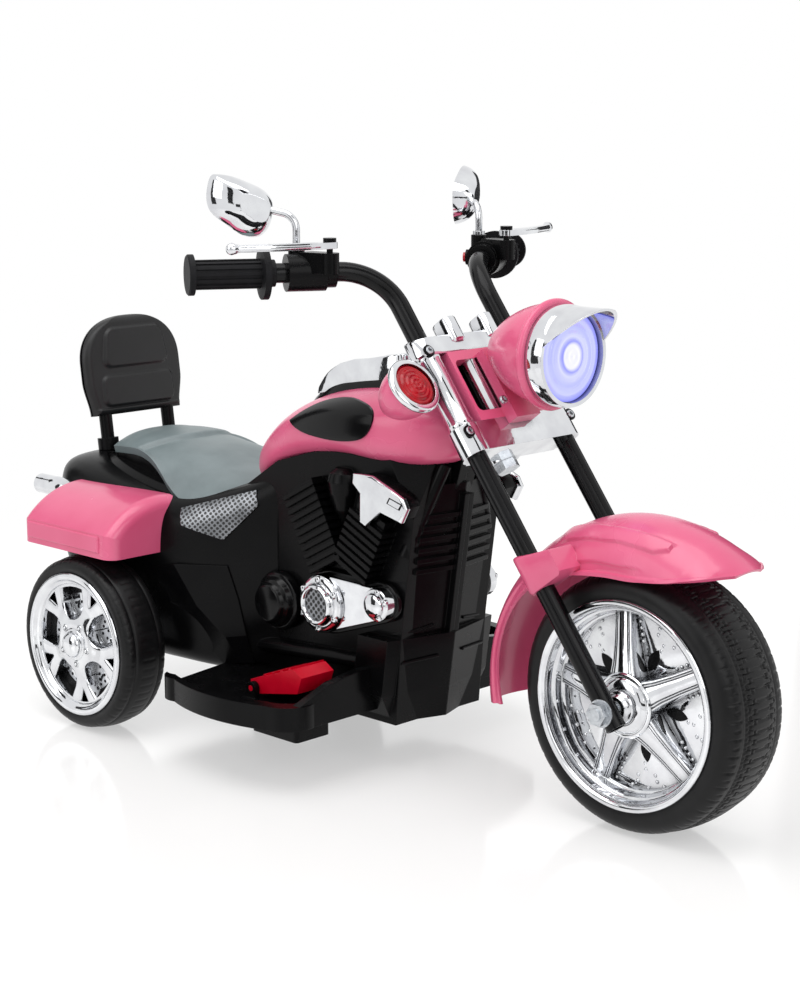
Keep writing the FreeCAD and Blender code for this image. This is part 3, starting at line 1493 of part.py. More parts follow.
def make_tank_fittings(nodes):
    tank = tank_form(0)
    points = []
    for along, rise in badge_outline_shares:
        points.append(vec(badge_rear_x + along * badge_length, 0, badge_low + rise * badge_height))
    stamp = Part.Face(smooth_wire(points, True)).extrude(vec(0, -tank_half_width - tank_wall, 0))
    badge = tank_form(badge_thickness).cut(tank).common(stamp)
    nodes["tank_badges"] = Part.makeCompound(both_sides(badge))
    side = trim_half_width
    outline = [
        vec(trim_rear_x, -side, trim_bottom), vec(trim_front_x, -side, trim_bottom),
        vec(trim_front_x, -side, trim_front_top), vec(trim_rear_x, -side, trim_rear_top),
    ]
    trim = prism(outline, vec(0, 2 * side, 0))
    top_edges = [edge for edge in trim.Edges if edge.CenterOfMass.z > trim_rear_top - overrun]
    trim = trim.makeFillet(trim_fillet, top_edges).cut(tank)
    slope = (trim_front_top - trim_rear_top) / (trim_front_x - trim_rear_x)
    rear_top = trim_rear_top + slope * (dash_rear_x - trim_rear_x)
    front_top = trim_rear_top + slope * (dash_front_x - trim_rear_x)
    half = dash_half_width
    console = prism([
        vec(dash_rear_x, -half, rear_top), vec(dash_front_x, -half, front_top),
        vec(dash_front_x, -half, front_top + dash_height), vec(dash_rear_x + dash_height, -half,
                                                               rear_top + dash_height),
    ], vec(0, 2 * half, 0))
    console = console.makeFillet(dash_fillet, [edge for edge in console.Edges
                                               if abs(edge.CenterOfMass.y) > half - overrun
                                               and edge.CenterOfMass.z > rear_top + dash_height - overrun])
    tilt_deg = -math.degrees(math.atan(slope))
    rockers = []
    for index, name in enumerate(("power_switch", "direction_switch")):
        x = (dash_rear_x + dash_height + dash_front_x) / 2 + (index - 1 / 2) * rocker_spacing
        top = vec(x, 0, trim_rear_top + slope * (x - trim_rear_x) + dash_height)
        stand = FreeCAD.Placement(top, FreeCAD.Rotation(leftward, tilt_deg))
        room = rocker_clearance
        well = block(vec(-rocker_length / 2 - room, -rocker_width / 2 - room, -rocker_depth - room),
                     vec(rocker_length / 2 + room, rocker_width / 2 + room, overrun))
        trunnion = rod(vec(0, -rocker_width / 2 - room - rocker_proud, -rocker_depth / 2),
                       vec(0, rocker_width / 2 + room + rocker_proud, -rocker_depth / 2),
                       rocker_pin_radius + running_clearance)
        well = fused([well, trunnion])
        well.Placement = stand
        console = console.cut(well)
        rocker = prism([
            vec(-rocker_length / 2, -rocker_width / 2, 0), vec(0, -rocker_width / 2, -rocker_depth),
            vec(rocker_length / 2, -rocker_width / 2, 0), vec(rocker_length / 2, -rocker_width / 2,
                                                              rocker_proud),
            vec(0, -rocker_width / 2, rocker_proud / 2), vec(-rocker_length / 2, -rocker_width / 2,
                                                             rocker_proud),
        ], vec(0, rocker_width, 0))
        pin = rod(vec(0, -rocker_width / 2 - room - rocker_proud, -rocker_depth / 2),
                  vec(0, rocker_width / 2 + room + rocker_proud, -rocker_depth / 2), rocker_pin_radius)
        rocker = fused([rocker, pin])
        rocker.Placement = stand
        rockers.append((name, rocker))
    nodes["tank_top_trim"] = trim
    nodes["dash_console"] = console
    for name, rocker in rockers:
        nodes[name] = rocker


@functools.cache
def clutch_cover():
    side = -block_half_width
    out = -leftward
    clutch_at = vec(clutch_x, side, clutch_height)
    primary_at = vec(primary_x, side, primary_height)
    disc = turned([
        (0, 0), (clutch_radius, 0), (clutch_radius, clutch_depth - clutch_edge),
        ((clutch_radius - clutch_edge * edge_round_share, clutch_depth - clutch_edge * edge_round_share),
         (clutch_radius - clutch_edge, clutch_depth)),
        (clutch_grille_radius, clutch_depth), (clutch_grille_radius, clutch_depth - clutch_grille_recess),
        (0, clutch_depth - clutch_grille_recess),
    ], clutch_at, out)
    small = turned([
        (0, 0), (primary_radius, 0), (primary_radius, primary_depth - clutch_edge / 2),
        (primary_radius - clutch_edge / 2, primary_depth), (0, primary_depth),
    ], primary_at, out)
    span = primary_at - clutch_at
    across = vec(-span.z, 0, span.x).normalize()
    web = prism([
        clutch_at + across * clutch_radius, primary_at + across * primary_radius,
        primary_at - across * primary_radius, clutch_at - across * clutch_radius,
    ], out * (primary_depth - clutch_edge))
    pieces = [disc, small, web]
    bolt_ring = (clutch_radius - clutch_edge + clutch_grille_radius) / 2
    for index in range(clutch_bolt_count):
        turn = 2 * math.pi * index / clutch_bolt_count
        place = clutch_at + vec(bolt_ring * math.cos(turn), -clutch_depth, bolt_ring * math.sin(turn))
        pieces.append(rod(place, place + out * clutch_bolt_height, clutch_bolt_radius))
    return fused(pieces)


def cover_outline(size, side):
    # The forked shield on the front cylinder, made smaller about its middle.
    middle_along, middle_rise = cylinder_cover_middle_shares
    points = []
    for along, rise in cylinder_cover_outline_shares:
        x = cylinder_cover_rear_x + (middle_along + (along - middle_along) * size) * cylinder_cover_length
        z = cylinder_cover_low + (middle_rise + (rise - middle_rise) * size) * cylinder_cover_height
        points.append(vec(x, side, z))
    return Part.makePolygon(points + [points[0]])


def make_engine(nodes):
    side = -block_half_width
    out = -leftward
    nodes["engine_covers"] = Part.makeCompound(both_sides(clutch_cover()))
    horn = turned([
        (0, 0), (horn_radius, 0), (horn_radius, horn_depth - horn_edge),
        ((horn_radius - horn_edge * edge_round_share, horn_depth - horn_edge * edge_round_share),
         (horn_radius - horn_edge, horn_depth)),
        (horn_radius - 2 * horn_edge, horn_depth), (horn_radius - 2 * horn_edge, horn_depth - horn_dish),
        (0, horn_depth - horn_dish),
    ], vec(horn_x, side, horn_height), out)
    horn = horn.cut(rear_body_form(0))
    nodes["horn_covers"] = Part.makeCompound(both_sides(horn))
    deep = cylinder_cover_depth
    levels = ((1, 0), (1, deep - cylinder_cover_bevel), (cylinder_cover_face_share, deep))
    cover = Part.makeLoft([cover_outline(size, side - out_by) for size, out_by in levels], True, True)
    cylinder = finned_cylinder(front_cylinder_x, front_cylinder_tilt_deg, front_cylinder_length)
    cover = cover.cut(tank_form(0)).cut(cylinder)
    nodes["cylinder_covers"] = Part.makeCompound(both_sides(cover))


def make_seat(nodes):
    # A seam bowed forward across the saddle marks off the rear pad.
    half = seat_seam_half_width
    seam = Part.Face(traced_wire([
        vec(seat_seam_edge_x, -half, seat_base), (vec(seat_seam_x, 0, seat_base),
                                                  vec(seat_seam_edge_x, half, seat_base)),
        vec(seat_seam_edge_x - seat_seam_width, half, seat_base),
        (vec(seat_seam_x - seat_seam_width, 0, seat_base),
         vec(seat_seam_edge_x - seat_seam_width, -half, seat_base)),
    ])).extrude(vec(0, 0, 2 * seat_height))
    seam = seam.common(seat_form(seat_seam_depth, seat_height))
    seat = seat_form(seat_thickness, 0).cut(tank_form(0))
    nodes["seat"] = seat.cut(symmetric(seam))
    corners = []
    for along, rise in seat_trim_corner_shares:
        corners.append(vec(seat_trim_rear_x + along * seat_trim_length, 0,
                           seat_trim_low + rise * seat_trim_height))
    stamp = prism(corners, vec(0, -rear_body_half_width - seat_trim_skin - overrun, 0))
    pocket = seat_form(seat_thickness, seat_height)
    trim = rear_body_form(seat_trim_skin).cut(rear_body_form(0)).common(stamp)
    trim = trim.cut(pocket).cut(tank_form(0)).cut(block_form(0))
    nodes["seat_trims"] = Part.makeCompound(both_sides(trim))


def backrest_outline(inset, y_shift, low, high, crowned):
    half = backrest_width / 2 - inset
    steps = [vec(0, -half, low), vec(0, half, low), vec(0, half, high)]
    if crowned:
        shoulder = high - backrest_crown
        steps[2] = vec(0, half, shoulder)
        steps.append((vec(0, 0, high), vec(0, -half, shoulder)))
    else:
        steps.append(vec(0, -half, high))
    wire = traced_wire(steps)
    wire.translate(vec(y_shift, 0, 0))
    return wire


def make_backrest(nodes):
    half = backrest_thickness / 2
    pad = Part.Face(backrest_outline(0, -half, 0, backrest_height, True)).extrude(vec(backrest_thickness, 0,
                                                                                      0))
    rims = [edge for edge in pad.Edges if abs(abs(edge.CenterOfMass.x) - half) < overrun / 2]
    pad = pad.makeFillet(backrest_fillet, rims)
    inset = backrest_panel_inset
    low_panel = Part.Face(backrest_outline(inset, half - backrest_panel_depth, inset,
                                           backrest_panel_split,
                                           False)).extrude(vec(backrest_thickness, 0, 0))
    top_panel = Part.Face(backrest_outline(inset, half - backrest_panel_depth,
                                           backrest_panel_split + inset / 2,
                                           backrest_height - inset,
                                           True)).extrude(vec(backrest_thickness, 0, 0))
    pad = pad.cut(Part.makeCompound([low_panel, top_panel]))
    pad.Placement = FreeCAD.Placement(vec(backrest_x, 0, backrest_low),
                                      FreeCAD.Rotation(leftward, -backrest_lean_deg))
    posts = []
    for side in (-post_half_spacing, post_half_spacing):
        posts.append(rod(post_place(side, post_foot), post_place(side, backrest_low + post_sink),
                         post_radius))
    pad = pad.cut(Part.makeCompound(posts))
    collared = []
    for side, post in zip((-post_half_spacing, post_half_spacing), posts):
        foot = post_place(side, post_foot)
        collar = rod(foot, foot + (post_place(side, backrest_low) - foot).normalize() * post_collar_height,
                     post_collar_radius)
        collared.append(post.fuse(collar.cut(rear_body_form(seat_clearance))))
    nodes["backrest_pad"] = pad
    nodes["backrest_posts"] = Part.makeCompound(collared)


def rear_box_section(inset):
    inner = -box_in
    outer = -box_out + inset
    low = box_low - (overrun if inset else 0)
    top = box_top - inset
    side_top = box_side_top - inset
    arch = vec(0, inner + (outer - inner) * box_arch_share,
               side_top + (top - side_top) * box_arch_rise_share)
    return traced_wire([vec(0, inner, low), vec(0, inner, top), (arch, vec(0, outer, side_top)),
                        vec(0, outer, low)])


def make_rear_boxes(nodes):
    # Each box is a rounded shell, open underneath, closed on its inner side by the body.
    length = box_front_x - box_rear_x
    outside = Part.Face(rear_box_section(0)).extrude(vec(length, 0, 0))
    ends = [edge for edge in outside.Edges
            if (edge.CenterOfMass.x < overrun or edge.CenterOfMass.x > length - overrun)
            and edge.CenterOfMass.z > box_low + overrun and edge.CenterOfMass.y < -box_in - overrun]
    outside = outside.makeFillet(box_fillet, ends)
    inside = Part.Face(rear_box_section(box_wall)).extrude(vec(length - 2 * box_wall, 0, 0))
    inner_ends = [edge for edge in inside.Edges
                  if (edge.CenterOfMass.x < overrun or edge.CenterOfMass.x > length - 2 * box_wall - overrun)
                  and edge.CenterOfMass.z > box_low + overrun and edge.CenterOfMass.y < -box_in - overrun]
    inside = inside.makeFillet(box_fillet - box_wall, inner_ends)
    inside.translate(vec(box_wall, 0, 0))
    panel = block(vec(box_panel_inset, -box_out - box_panel, box_low + box_panel_inset / 2),
                  vec(length - box_panel_inset - box_fillet / 2, -box_out + box_panel,
                      box_side_top - box_panel))
    panel = panel.makeFillet(box_panel * box_panel_round_share,
                             [edge for edge in panel.Edges if edge.CenterOfMass.y < -box_out])
    shell = outside.cut(inside).fuse(panel)
    shell.translate(vec(box_rear_x, 0, 0))
    shell = shell.cut(rear_body_form(0))
    nodes["rear_boxes"] = Part.makeCompound(both_sides(shell))


def make_rear_lamps(nodes):
    rear = vec(rear_lamp_rear_x, -rear_lamp_side, rear_lamp_height)
    radius = rear_lamp_radius
    length = rear_lamp_length
    shell = turned([
        (0, rear_lamp_lens), (radius - rear_lamp_wall, rear_lamp_lens), (radius - rear_lamp_wall, 0),
        (radius, 0),
        (radius, length * rear_lamp_straight_share),
        ((radius * rear_lamp_waist_share, length * rear_lamp_waist_along_share), (0, length)),
    ], rear, ahead)
    stub = rod(rear + vec(length / 2, 0, 0), rear + vec(length / 2, rear_lamp_stub_length, 0),
               rear_lamp_stub_radius)
    lamp = fused([shell, stub]).cut(rear_body_form(0))
    box_room = Part.Face(rear_box_section(0)).extrude(vec(box_front_x - box_rear_x, 0, 0))
    box_room.translate(vec(box_rear_x, 0, 0))
    lamp = lamp.cut(box_room)
    nodes["rear_lamp_housings"] = Part.makeCompound(both_sides(lamp))
    lens_radius = radius - rear_lamp_wall
    lens = turned([
        (0, 0), ((lens_radius * rear_lamp_lens_share, rear_lamp_wall / 2), (lens_radius, rear_lamp_wall)),
        (lens_radius, rear_lamp_lens), (0, rear_lamp_lens),
    ], rear, ahead)
    nodes["rear_lamp_lenses"] = Part.makeCompound(both_sides(lens))


def footboard_outline(inset, rear_inset, z):
    rear = footboard_rear_x + rear_inset
    front = footboard_front_x - inset
    out = -footboard_out + inset
    corner = footboard_corner
    side = -footboard_side_back + inset
    rear_in, rear_out = footboard_rear_round_shares
    front_in, front_out = footboard_front_round_shares
    return traced_wire([
        vec(rear - footboard_rear_skew, -footboard_in, z), vec(rear, side, z),
        (vec(rear + corner * rear_in, side - corner * rear_out, z), vec(rear + corner, (side + out) / 2, z)),
        (vec((rear + front) / 2, out, z), vec(front - corner, (side + out) / 2, z)),
        (vec(front - corner * front_in, side - corner * front_out, z), vec(front, side + corner, z)),
        vec(front, -footboard_in, z),
    ])


def make_footboards(nodes):
    low = footboard_low
    board = Part.Face(footboard_outline(0, 0, low)).extrude(vec(0, 0, footboard_rim_height))
    # The well is open at the rear, and the front rim rises towards the body.
    tray = Part.Face(footboard_outline(footboard_rim, -footboard_rim, low + footboard_floor))
    tray = tray.extrude(vec(0, 0, footboard_rim_height))
    rim_top = low + footboard_rim_height
    wall_end = -footboard_out * footboard_wall_shares[0][0]
    wall = [vec(footboard_front_x, -footboard_in, low), vec(footboard_front_x, wall_end, low)]
    for share, rise in footboard_wall_shares:
        wall.append(vec(footboard_front_x, -footboard_out * share, rim_top + footboard_wall_rise * rise))
    wall = prism(wall, vec(-footboard_wall, 0, 0))
    board = board.cut(tray).fuse(wall).cut(body_outside())
    pin_at = vec(pedal_heel_x, 0, pedal_pin_height)
    lugs = []
    holes = []
    for sign in (-1, 1):
        near = -pedal_side + sign * (pedal_width / 2 + pedal_lug_gap)
        far = near + sign * pedal_lug
        lugs.append(rod(pin_at + leftward * near, pin_at + leftward * far, pedal_lug_radius))
        low_y = min(near, far)
        lugs.append(block(vec(pedal_heel_x - pedal_lug_radius, low_y, low + footboard_floor),
                          vec(pedal_heel_x + pedal_lug_radius, low_y + pedal_lug, pedal_pin_height)))
        holes.append(rod(pin_at + leftward * (low_y - overrun),
                         pin_at + leftward * (low_y + pedal_lug + overrun),
                         pedal_pin_radius + running_clearance))
    nodes["footboards"] = Part.makeCompound([board.multiFuse(lugs).cut(Part.makeCompound(holes)),
                                             mirrored(board)])
    skid = block(vec(skid_x - skid_length / 2, -skid_side - skid_width / 2, low - skid_height),
                 vec(skid_x + skid_length / 2, -skid_side + skid_width / 2, low))
    skid = skid.makeFillet(skid_fillet, [edge for edge in skid.Edges if edge.CenterOfMass.z < low - overrun
                                         and edge.CenterOfMass.z > low - skid_height + overrun])
    nodes["skid_blocks"] = Part.makeCompound(both_sides(skid))


def make_pedal(nodes):
    near = -pedal_side - pedal_width / 2
    heel = vec(pedal_heel_x, near, pedal_pin_height)
    toe = pedal_length
    points = [
        heel + vec(0, 0, -pedal_heel), heel + vec(toe, 0, pedal_toe_low),
        heel + vec(toe + pedal_toe_run, 0, pedal_toe_top - pedal_heel),
        heel + vec(toe - pedal_toe_run, 0, pedal_toe_top),
        heel + vec(-pedal_heel, 0, pedal_heel), heel + vec(-pedal_heel, 0, 0),
    ]
    wedge = prism(points, vec(0, pedal_width, 0))
    slope = (pedal_toe_top - pedal_heel) / (toe - pedal_toe_run + pedal_heel)
    pieces = [wedge]
    for index in range(pedal_rib_count):
        along = toe * (index + 1) / (pedal_rib_count + 1)
        top = pedal_heel + slope * (along + pedal_heel)
        rib = prism([
            heel + vec(along, 0, top - pedal_rib_height),
            heel + vec(along + pedal_rib_width, 0, top - pedal_rib_height),
            heel + vec(along + pedal_rib_width, 0, top + pedal_rib_height + slope * pedal_rib_width),
            heel + vec(along, 0, top + pedal_rib_height),
        ], vec(0, pedal_width, 0))
        pieces.append(rib)
    reach = pedal_width / 2 + pedal_lug_gap + pedal_lug
    pin_at = vec(pedal_heel_x, -pedal_side, pedal_pin_height)
    pieces.append(rod(pin_at - leftward * reach, pin_at + leftward * reach, pedal_pin_radius))
    nodes["foot_pedal"] = fused(pieces)


def make_drive(nodes):
    near = -gearbox_side - gearbox_width / 2
    far = near + gearbox_width
    axle_at = vec(rear_axle_x, 0, rear_tyre_radius)
    motor_at = vec(rear_axle_x + motor_ahead, 0, rear_tyre_radius + motor_rise)
    big = rod(axle_at + leftward * near, axle_at + leftward * far, gearbox_radius)
    small = rod(motor_at + leftward * near, motor_at + leftward * far, motor_boss_radius)
    span = motor_at - axle_at
    across = vec(-span.z, 0, span.x).normalize()
    web = prism([
        axle_at + across * gearbox_radius + leftward * near,
        motor_at + across * motor_boss_radius + leftward * near,
        motor_at - across * motor_boss_radius + leftward * near,
        axle_at - across * gearbox_radius + leftward * near,
    ], vec(0, gearbox_width, 0))
    bore = rod(axle_at + leftward * (near - overrun), axle_at + leftward * (far + overrun), axle_radius)
    nodes["drive_gearbox"] = fused([big, small, web]).cut(bore)
    can = rod(motor_at + leftward * far, motor_at + leftward * (far + motor_length), motor_radius)
    cap = rod(motor_at + leftward * (far + motor_length),
              motor_at + leftward * (far + motor_length + motor_cap),
              motor_cap_radius)
    nodes["drive_motor"] = fused([can, cap])


def make_electrics(nodes):
    floor = block_low + block_wall
    low = vec(battery_x - battery_length / 2, -battery_width / 2, floor)
    case = block(low, low + vec(battery_length, battery_width, battery_height))
    top = floor + battery_height
    pieces = [case]
    for side in (-battery_width / 3, battery_width / 3):
        place = vec(battery_x + battery_length / 2 - 2 * battery_terminal, side - battery_terminal / 2, top)
        pieces.append(block(place, place + vec(battery_terminal, battery_terminal, battery_terminal)))
    nodes["battery"] = fused(pieces)
    base = vec(battery_x - battery_length / 2, -module_width / 2, top)
    nodes["control_module"] = block(base, base + vec(module_length, module_width, module_height))
    wall = -block_half_width + block_wall
    speaker_at = vec(clutch_x, wall, clutch_height)
    basket = turned([
        (0, 0), (speaker_radius, 0), (speaker_radius, speaker_depth / 4),
        (speaker_magnet_radius, speaker_depth),
        (speaker_magnet_radius, speaker_depth + speaker_magnet), (0, speaker_depth + speaker_magnet),
    ], speaker_at, leftward)
    nodes["speaker"] = basket
    flank = body_outside()
    out = -leftward
    inside = vec(socket_x, 0, socket_height)
    probe = Part.LineSegment(inside, inside + out * (2 * rear_body_half_width)).toShape()
    seat_at = vec(socket_x, flank.common(probe).BoundBox.YMin, socket_height)
    flange = rod(seat_at - out * socket_flange, seat_at + out * socket_flange,
                 socket_flange_radius).cut(flank)
    barrel = rod(seat_at - out * socket_barrel_length, seat_at + out * socket_flange, socket_barrel_radius)
    bore = rod(seat_at + out * (socket_flange - socket_bore_depth),
               seat_at + out * (socket_flange + overrun),
               socket_bore_radius)
    nodes["charging_socket"] = mirrored(fused([flange, barrel]).cut(bore))


def single(shape):
    solids = shape.Solids
    if len(solids) == 1:
        return solids[0]
    return Part.makeCompound(solids)


def main():
    nodes = {}
    for make in (make_front_wheel, make_rear_wheels, make_axles, make_fork, make_head_shroud, make_headlight,
                 make_turn_signals, make_handlebar, make_perches, make_levers, make_mirrors, make_fender,
                 make_body,
                 make_tank_fittings, make_engine, make_seat, make_backrest, make_rear_boxes, make_rear_lamps,
                 make_footboards, make_pedal, make_drive, make_electrics):
        make(nodes)
    os.makedirs("parts", exist_ok=True)
    for name, shape in nodes.items():
        single(shape).exportStep(os.path.join("parts", name + ".step"))


main()
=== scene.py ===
import math

import bmesh
import bpy
import numpy as np
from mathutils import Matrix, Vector


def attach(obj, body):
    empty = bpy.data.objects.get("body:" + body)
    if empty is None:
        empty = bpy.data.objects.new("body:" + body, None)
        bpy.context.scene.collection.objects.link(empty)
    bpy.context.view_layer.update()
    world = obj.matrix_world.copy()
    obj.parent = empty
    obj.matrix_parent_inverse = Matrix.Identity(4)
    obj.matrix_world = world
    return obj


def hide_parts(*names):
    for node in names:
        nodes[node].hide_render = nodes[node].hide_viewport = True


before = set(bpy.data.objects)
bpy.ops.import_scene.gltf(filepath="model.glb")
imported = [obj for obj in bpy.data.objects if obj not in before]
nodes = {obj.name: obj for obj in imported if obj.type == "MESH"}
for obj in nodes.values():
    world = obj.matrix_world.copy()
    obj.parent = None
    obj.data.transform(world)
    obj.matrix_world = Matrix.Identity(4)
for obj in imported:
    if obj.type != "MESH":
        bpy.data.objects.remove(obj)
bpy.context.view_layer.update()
scene = bpy.context.scene
mmPerMetre = 1000.0  # shapes are worked out in millimetres, Blender holds metres
print("frame loaded:", len(nodes), "solids")


def toLinear(hexText):
    # sRGB hex to linear RGBA: c/12.92 below the knee, ((c + 0.055) / 1.055) ** 2.4 above it
    c = np.array([int(hexText[i:i + 2], 16) for i in (1, 3, 5)]) / 255
    low, high = c / 12.92, ((c + 0.055) / 1.055) ** 2.4
    return (*np.where(c <= 0.04045, low, high).tolist(), 1.0)


def addNode(tree, kind, settings=None, links=None):
    # settings name sockets or properties, links name sockets and give the output that feeds them
    node = tree.nodes.new(kind)
    for key, value in (settings or {}).items():
        if isinstance(key, int) or key in node.inputs:
            node.inputs[key].default_value = value
        else:
            setattr(node, key, value)
    for key, source in (links or {}).items():
        tree.links.new(source, node.inputs[key])
    return node


def emptyTree(block):
    # The cleared node tree of a material or a world
    block.use_nodes = True
    block.node_tree.nodes.clear()
    return block.node_tree


finishLook = {"toneSpan": (0.3, 0.7), "unshadedSpan": (0.25, 0.85), "edgeMm": 0.6, "bumpShare": 0.25,
              "holeBlur": 0.05, "blotchDetail": 3.0, "grainDetail": 2.0, "creviceShadeSamples": 6}


def finishOf(name, look):
    # A moulded or plated finish: two tones mixed by a soft blotch, roughness that wanders, and a fine bump
    mat = bpy.data.materials.new(name)
    tree = emptyTree(mat)
    where = addNode(tree, "ShaderNodeTexCoord").outputs["Object"]
    blotch = addNode(tree, "ShaderNodeTexNoise",
                     {"Scale": mmPerMetre / look["blotchMm"], "Detail": finishLook["blotchDetail"]},
                     {"Vector": where})
    tones = addNode(tree, "ShaderNodeValToRGB", None, {"Fac": blotch.outputs["Fac"]})
    for k, tone in enumerate(("dark", "light")):
        tones.color_ramp.elements[k].position = finishLook["toneSpan"][k]
        tones.color_ramp.elements[k].color = toLinear(look[tone])
    rough = addNode(tree, "ShaderNodeMapRange", {"To Min": look["rough"][0], "To Max": look["rough"][1]},
                    {"Value": blotch.outputs["Fac"]})
    grain = addNode(tree, "ShaderNodeTexNoise",
                    {"Scale": mmPerMetre / look["grainMm"], "Detail": finishLook["grainDetail"]},
                    {"Vector": where})
    edgeMm = look.get("edgeMm", finishLook["edgeMm"])  # moulded edges are a little round and catch light
    edge = addNode(tree, "ShaderNodeBevel", {"Radius": edgeMm / mmPerMetre})
    bumpMm = finishLook["bumpShare"] * look["grainMm"]
    bump = addNode(tree, "ShaderNodeBump", {"Strength": look["bump"], "Distance": bumpMm / mmPerMetre},
                   {"Height": grain.outputs["Fac"], "Normal": edge.outputs["Normal"]})
    links = {"Base Color": tones.outputs["Color"], "Roughness": rough.outputs["Result"],
             "Normal": bump.outputs["Normal"]}
    if "creviceShade" in look:  # painted shade: ambient occlusion darkens corners of plating and the bottoms of grooves
        creviceShade = look["creviceShade"]
        deep = addNode(tree, "ShaderNodeAmbientOcclusion",
                       {"Distance": creviceShade["reachMm"] / mmPerMetre,
                        "samples": finishLook["creviceShadeSamples"]},
                       {"Normal": bump.outputs["Normal"]})
        low, high = finishLook["unshadedSpan"]
        unshadedShare = addNode(tree, "ShaderNodeMapRange", {"From Min": low, "From Max": high},
                            {"Value": deep.outputs["AO"]})
        colour = addNode(tree, "ShaderNodeMix", {"data_type": "RGBA", 6: toLinear(creviceShade["dark"])},
                         {0: unshadedShare.outputs["Result"], 7: tones.outputs["Color"]})
        links["Base Color"] = colour.outputs[2]
    if "holes" in look:  # painted shade: rows of round holes painted dark and not metal near each cell's middle, seen from the side
        holes = look["holes"]
        turned = addNode(tree, "ShaderNodeMapping", {"Rotation": (-math.pi / 2, 0, math.pi / 4)},
                         {"Vector": where})
        cells = addNode(tree, "ShaderNodeTexVoronoi",
                        {"voronoi_dimensions": "2D", "Randomness": 0.0,
                         "Scale": mmPerMetre / holes["pitchMm"]},
                        {"Vector": turned.outputs["Vector"]})
        share, blur = holes["radiusShare"], finishLook["holeBlur"]
        solid = addNode(tree, "ShaderNodeMapRange", {"From Min": share - blur, "From Max": share + blur},
                        {"Value": cells.outputs["Distance"]})
        colour = addNode(tree, "ShaderNodeMix", {"data_type": "RGBA", 6: toLinear(holes["dark"])},
                         {0: solid.outputs["Result"], 7: tones.outputs["Color"]})
        links["Base Color"] = colour.outputs[2]
        links["Metallic"] = solid.outputs["Result"]
    if "glow" in look:  # light that changes colour with the distance from the lamp's axis
        glow = look["glow"]
        off = addNode(tree, "ShaderNodeVectorMath", {"operation": "SUBTRACT", 1: glow["middle"]}, {0: where})
        flat = addNode(tree, "ShaderNodeVectorMath", {"operation": "MULTIPLY", 1: (0, 1, 1)},
                       {0: off.outputs[0]})
        away = addNode(tree, "ShaderNodeVectorMath", {"operation": "LENGTH"}, {0: flat.outputs[0]})
        far = addNode(tree, "ShaderNodeMapRange", {"From Max": glow["reachMm"] / mmPerMetre},
                      {"Value": away.outputs["Value"]})
        ramp = addNode(tree, "ShaderNodeValToRGB", None, {"Fac": far.outputs["Result"]})
        for k, (share, tint) in enumerate(glow["stops"]):
            stop = ramp.color_ramp.elements[k] if k < 2 else ramp.color_ramp.elements.new(share)
            stop.position = share
            stop.color = toLinear(tint)
        links["Emission Color"] = ramp.outputs["Color"]
    shader = addNode(tree, "ShaderNodeBsdfPrincipled", look.get("sockets"), links)
    addNode(tree, "ShaderNodeOutputMaterial", None, {"Surface": shader.outputs["BSDF"]})
    return mat


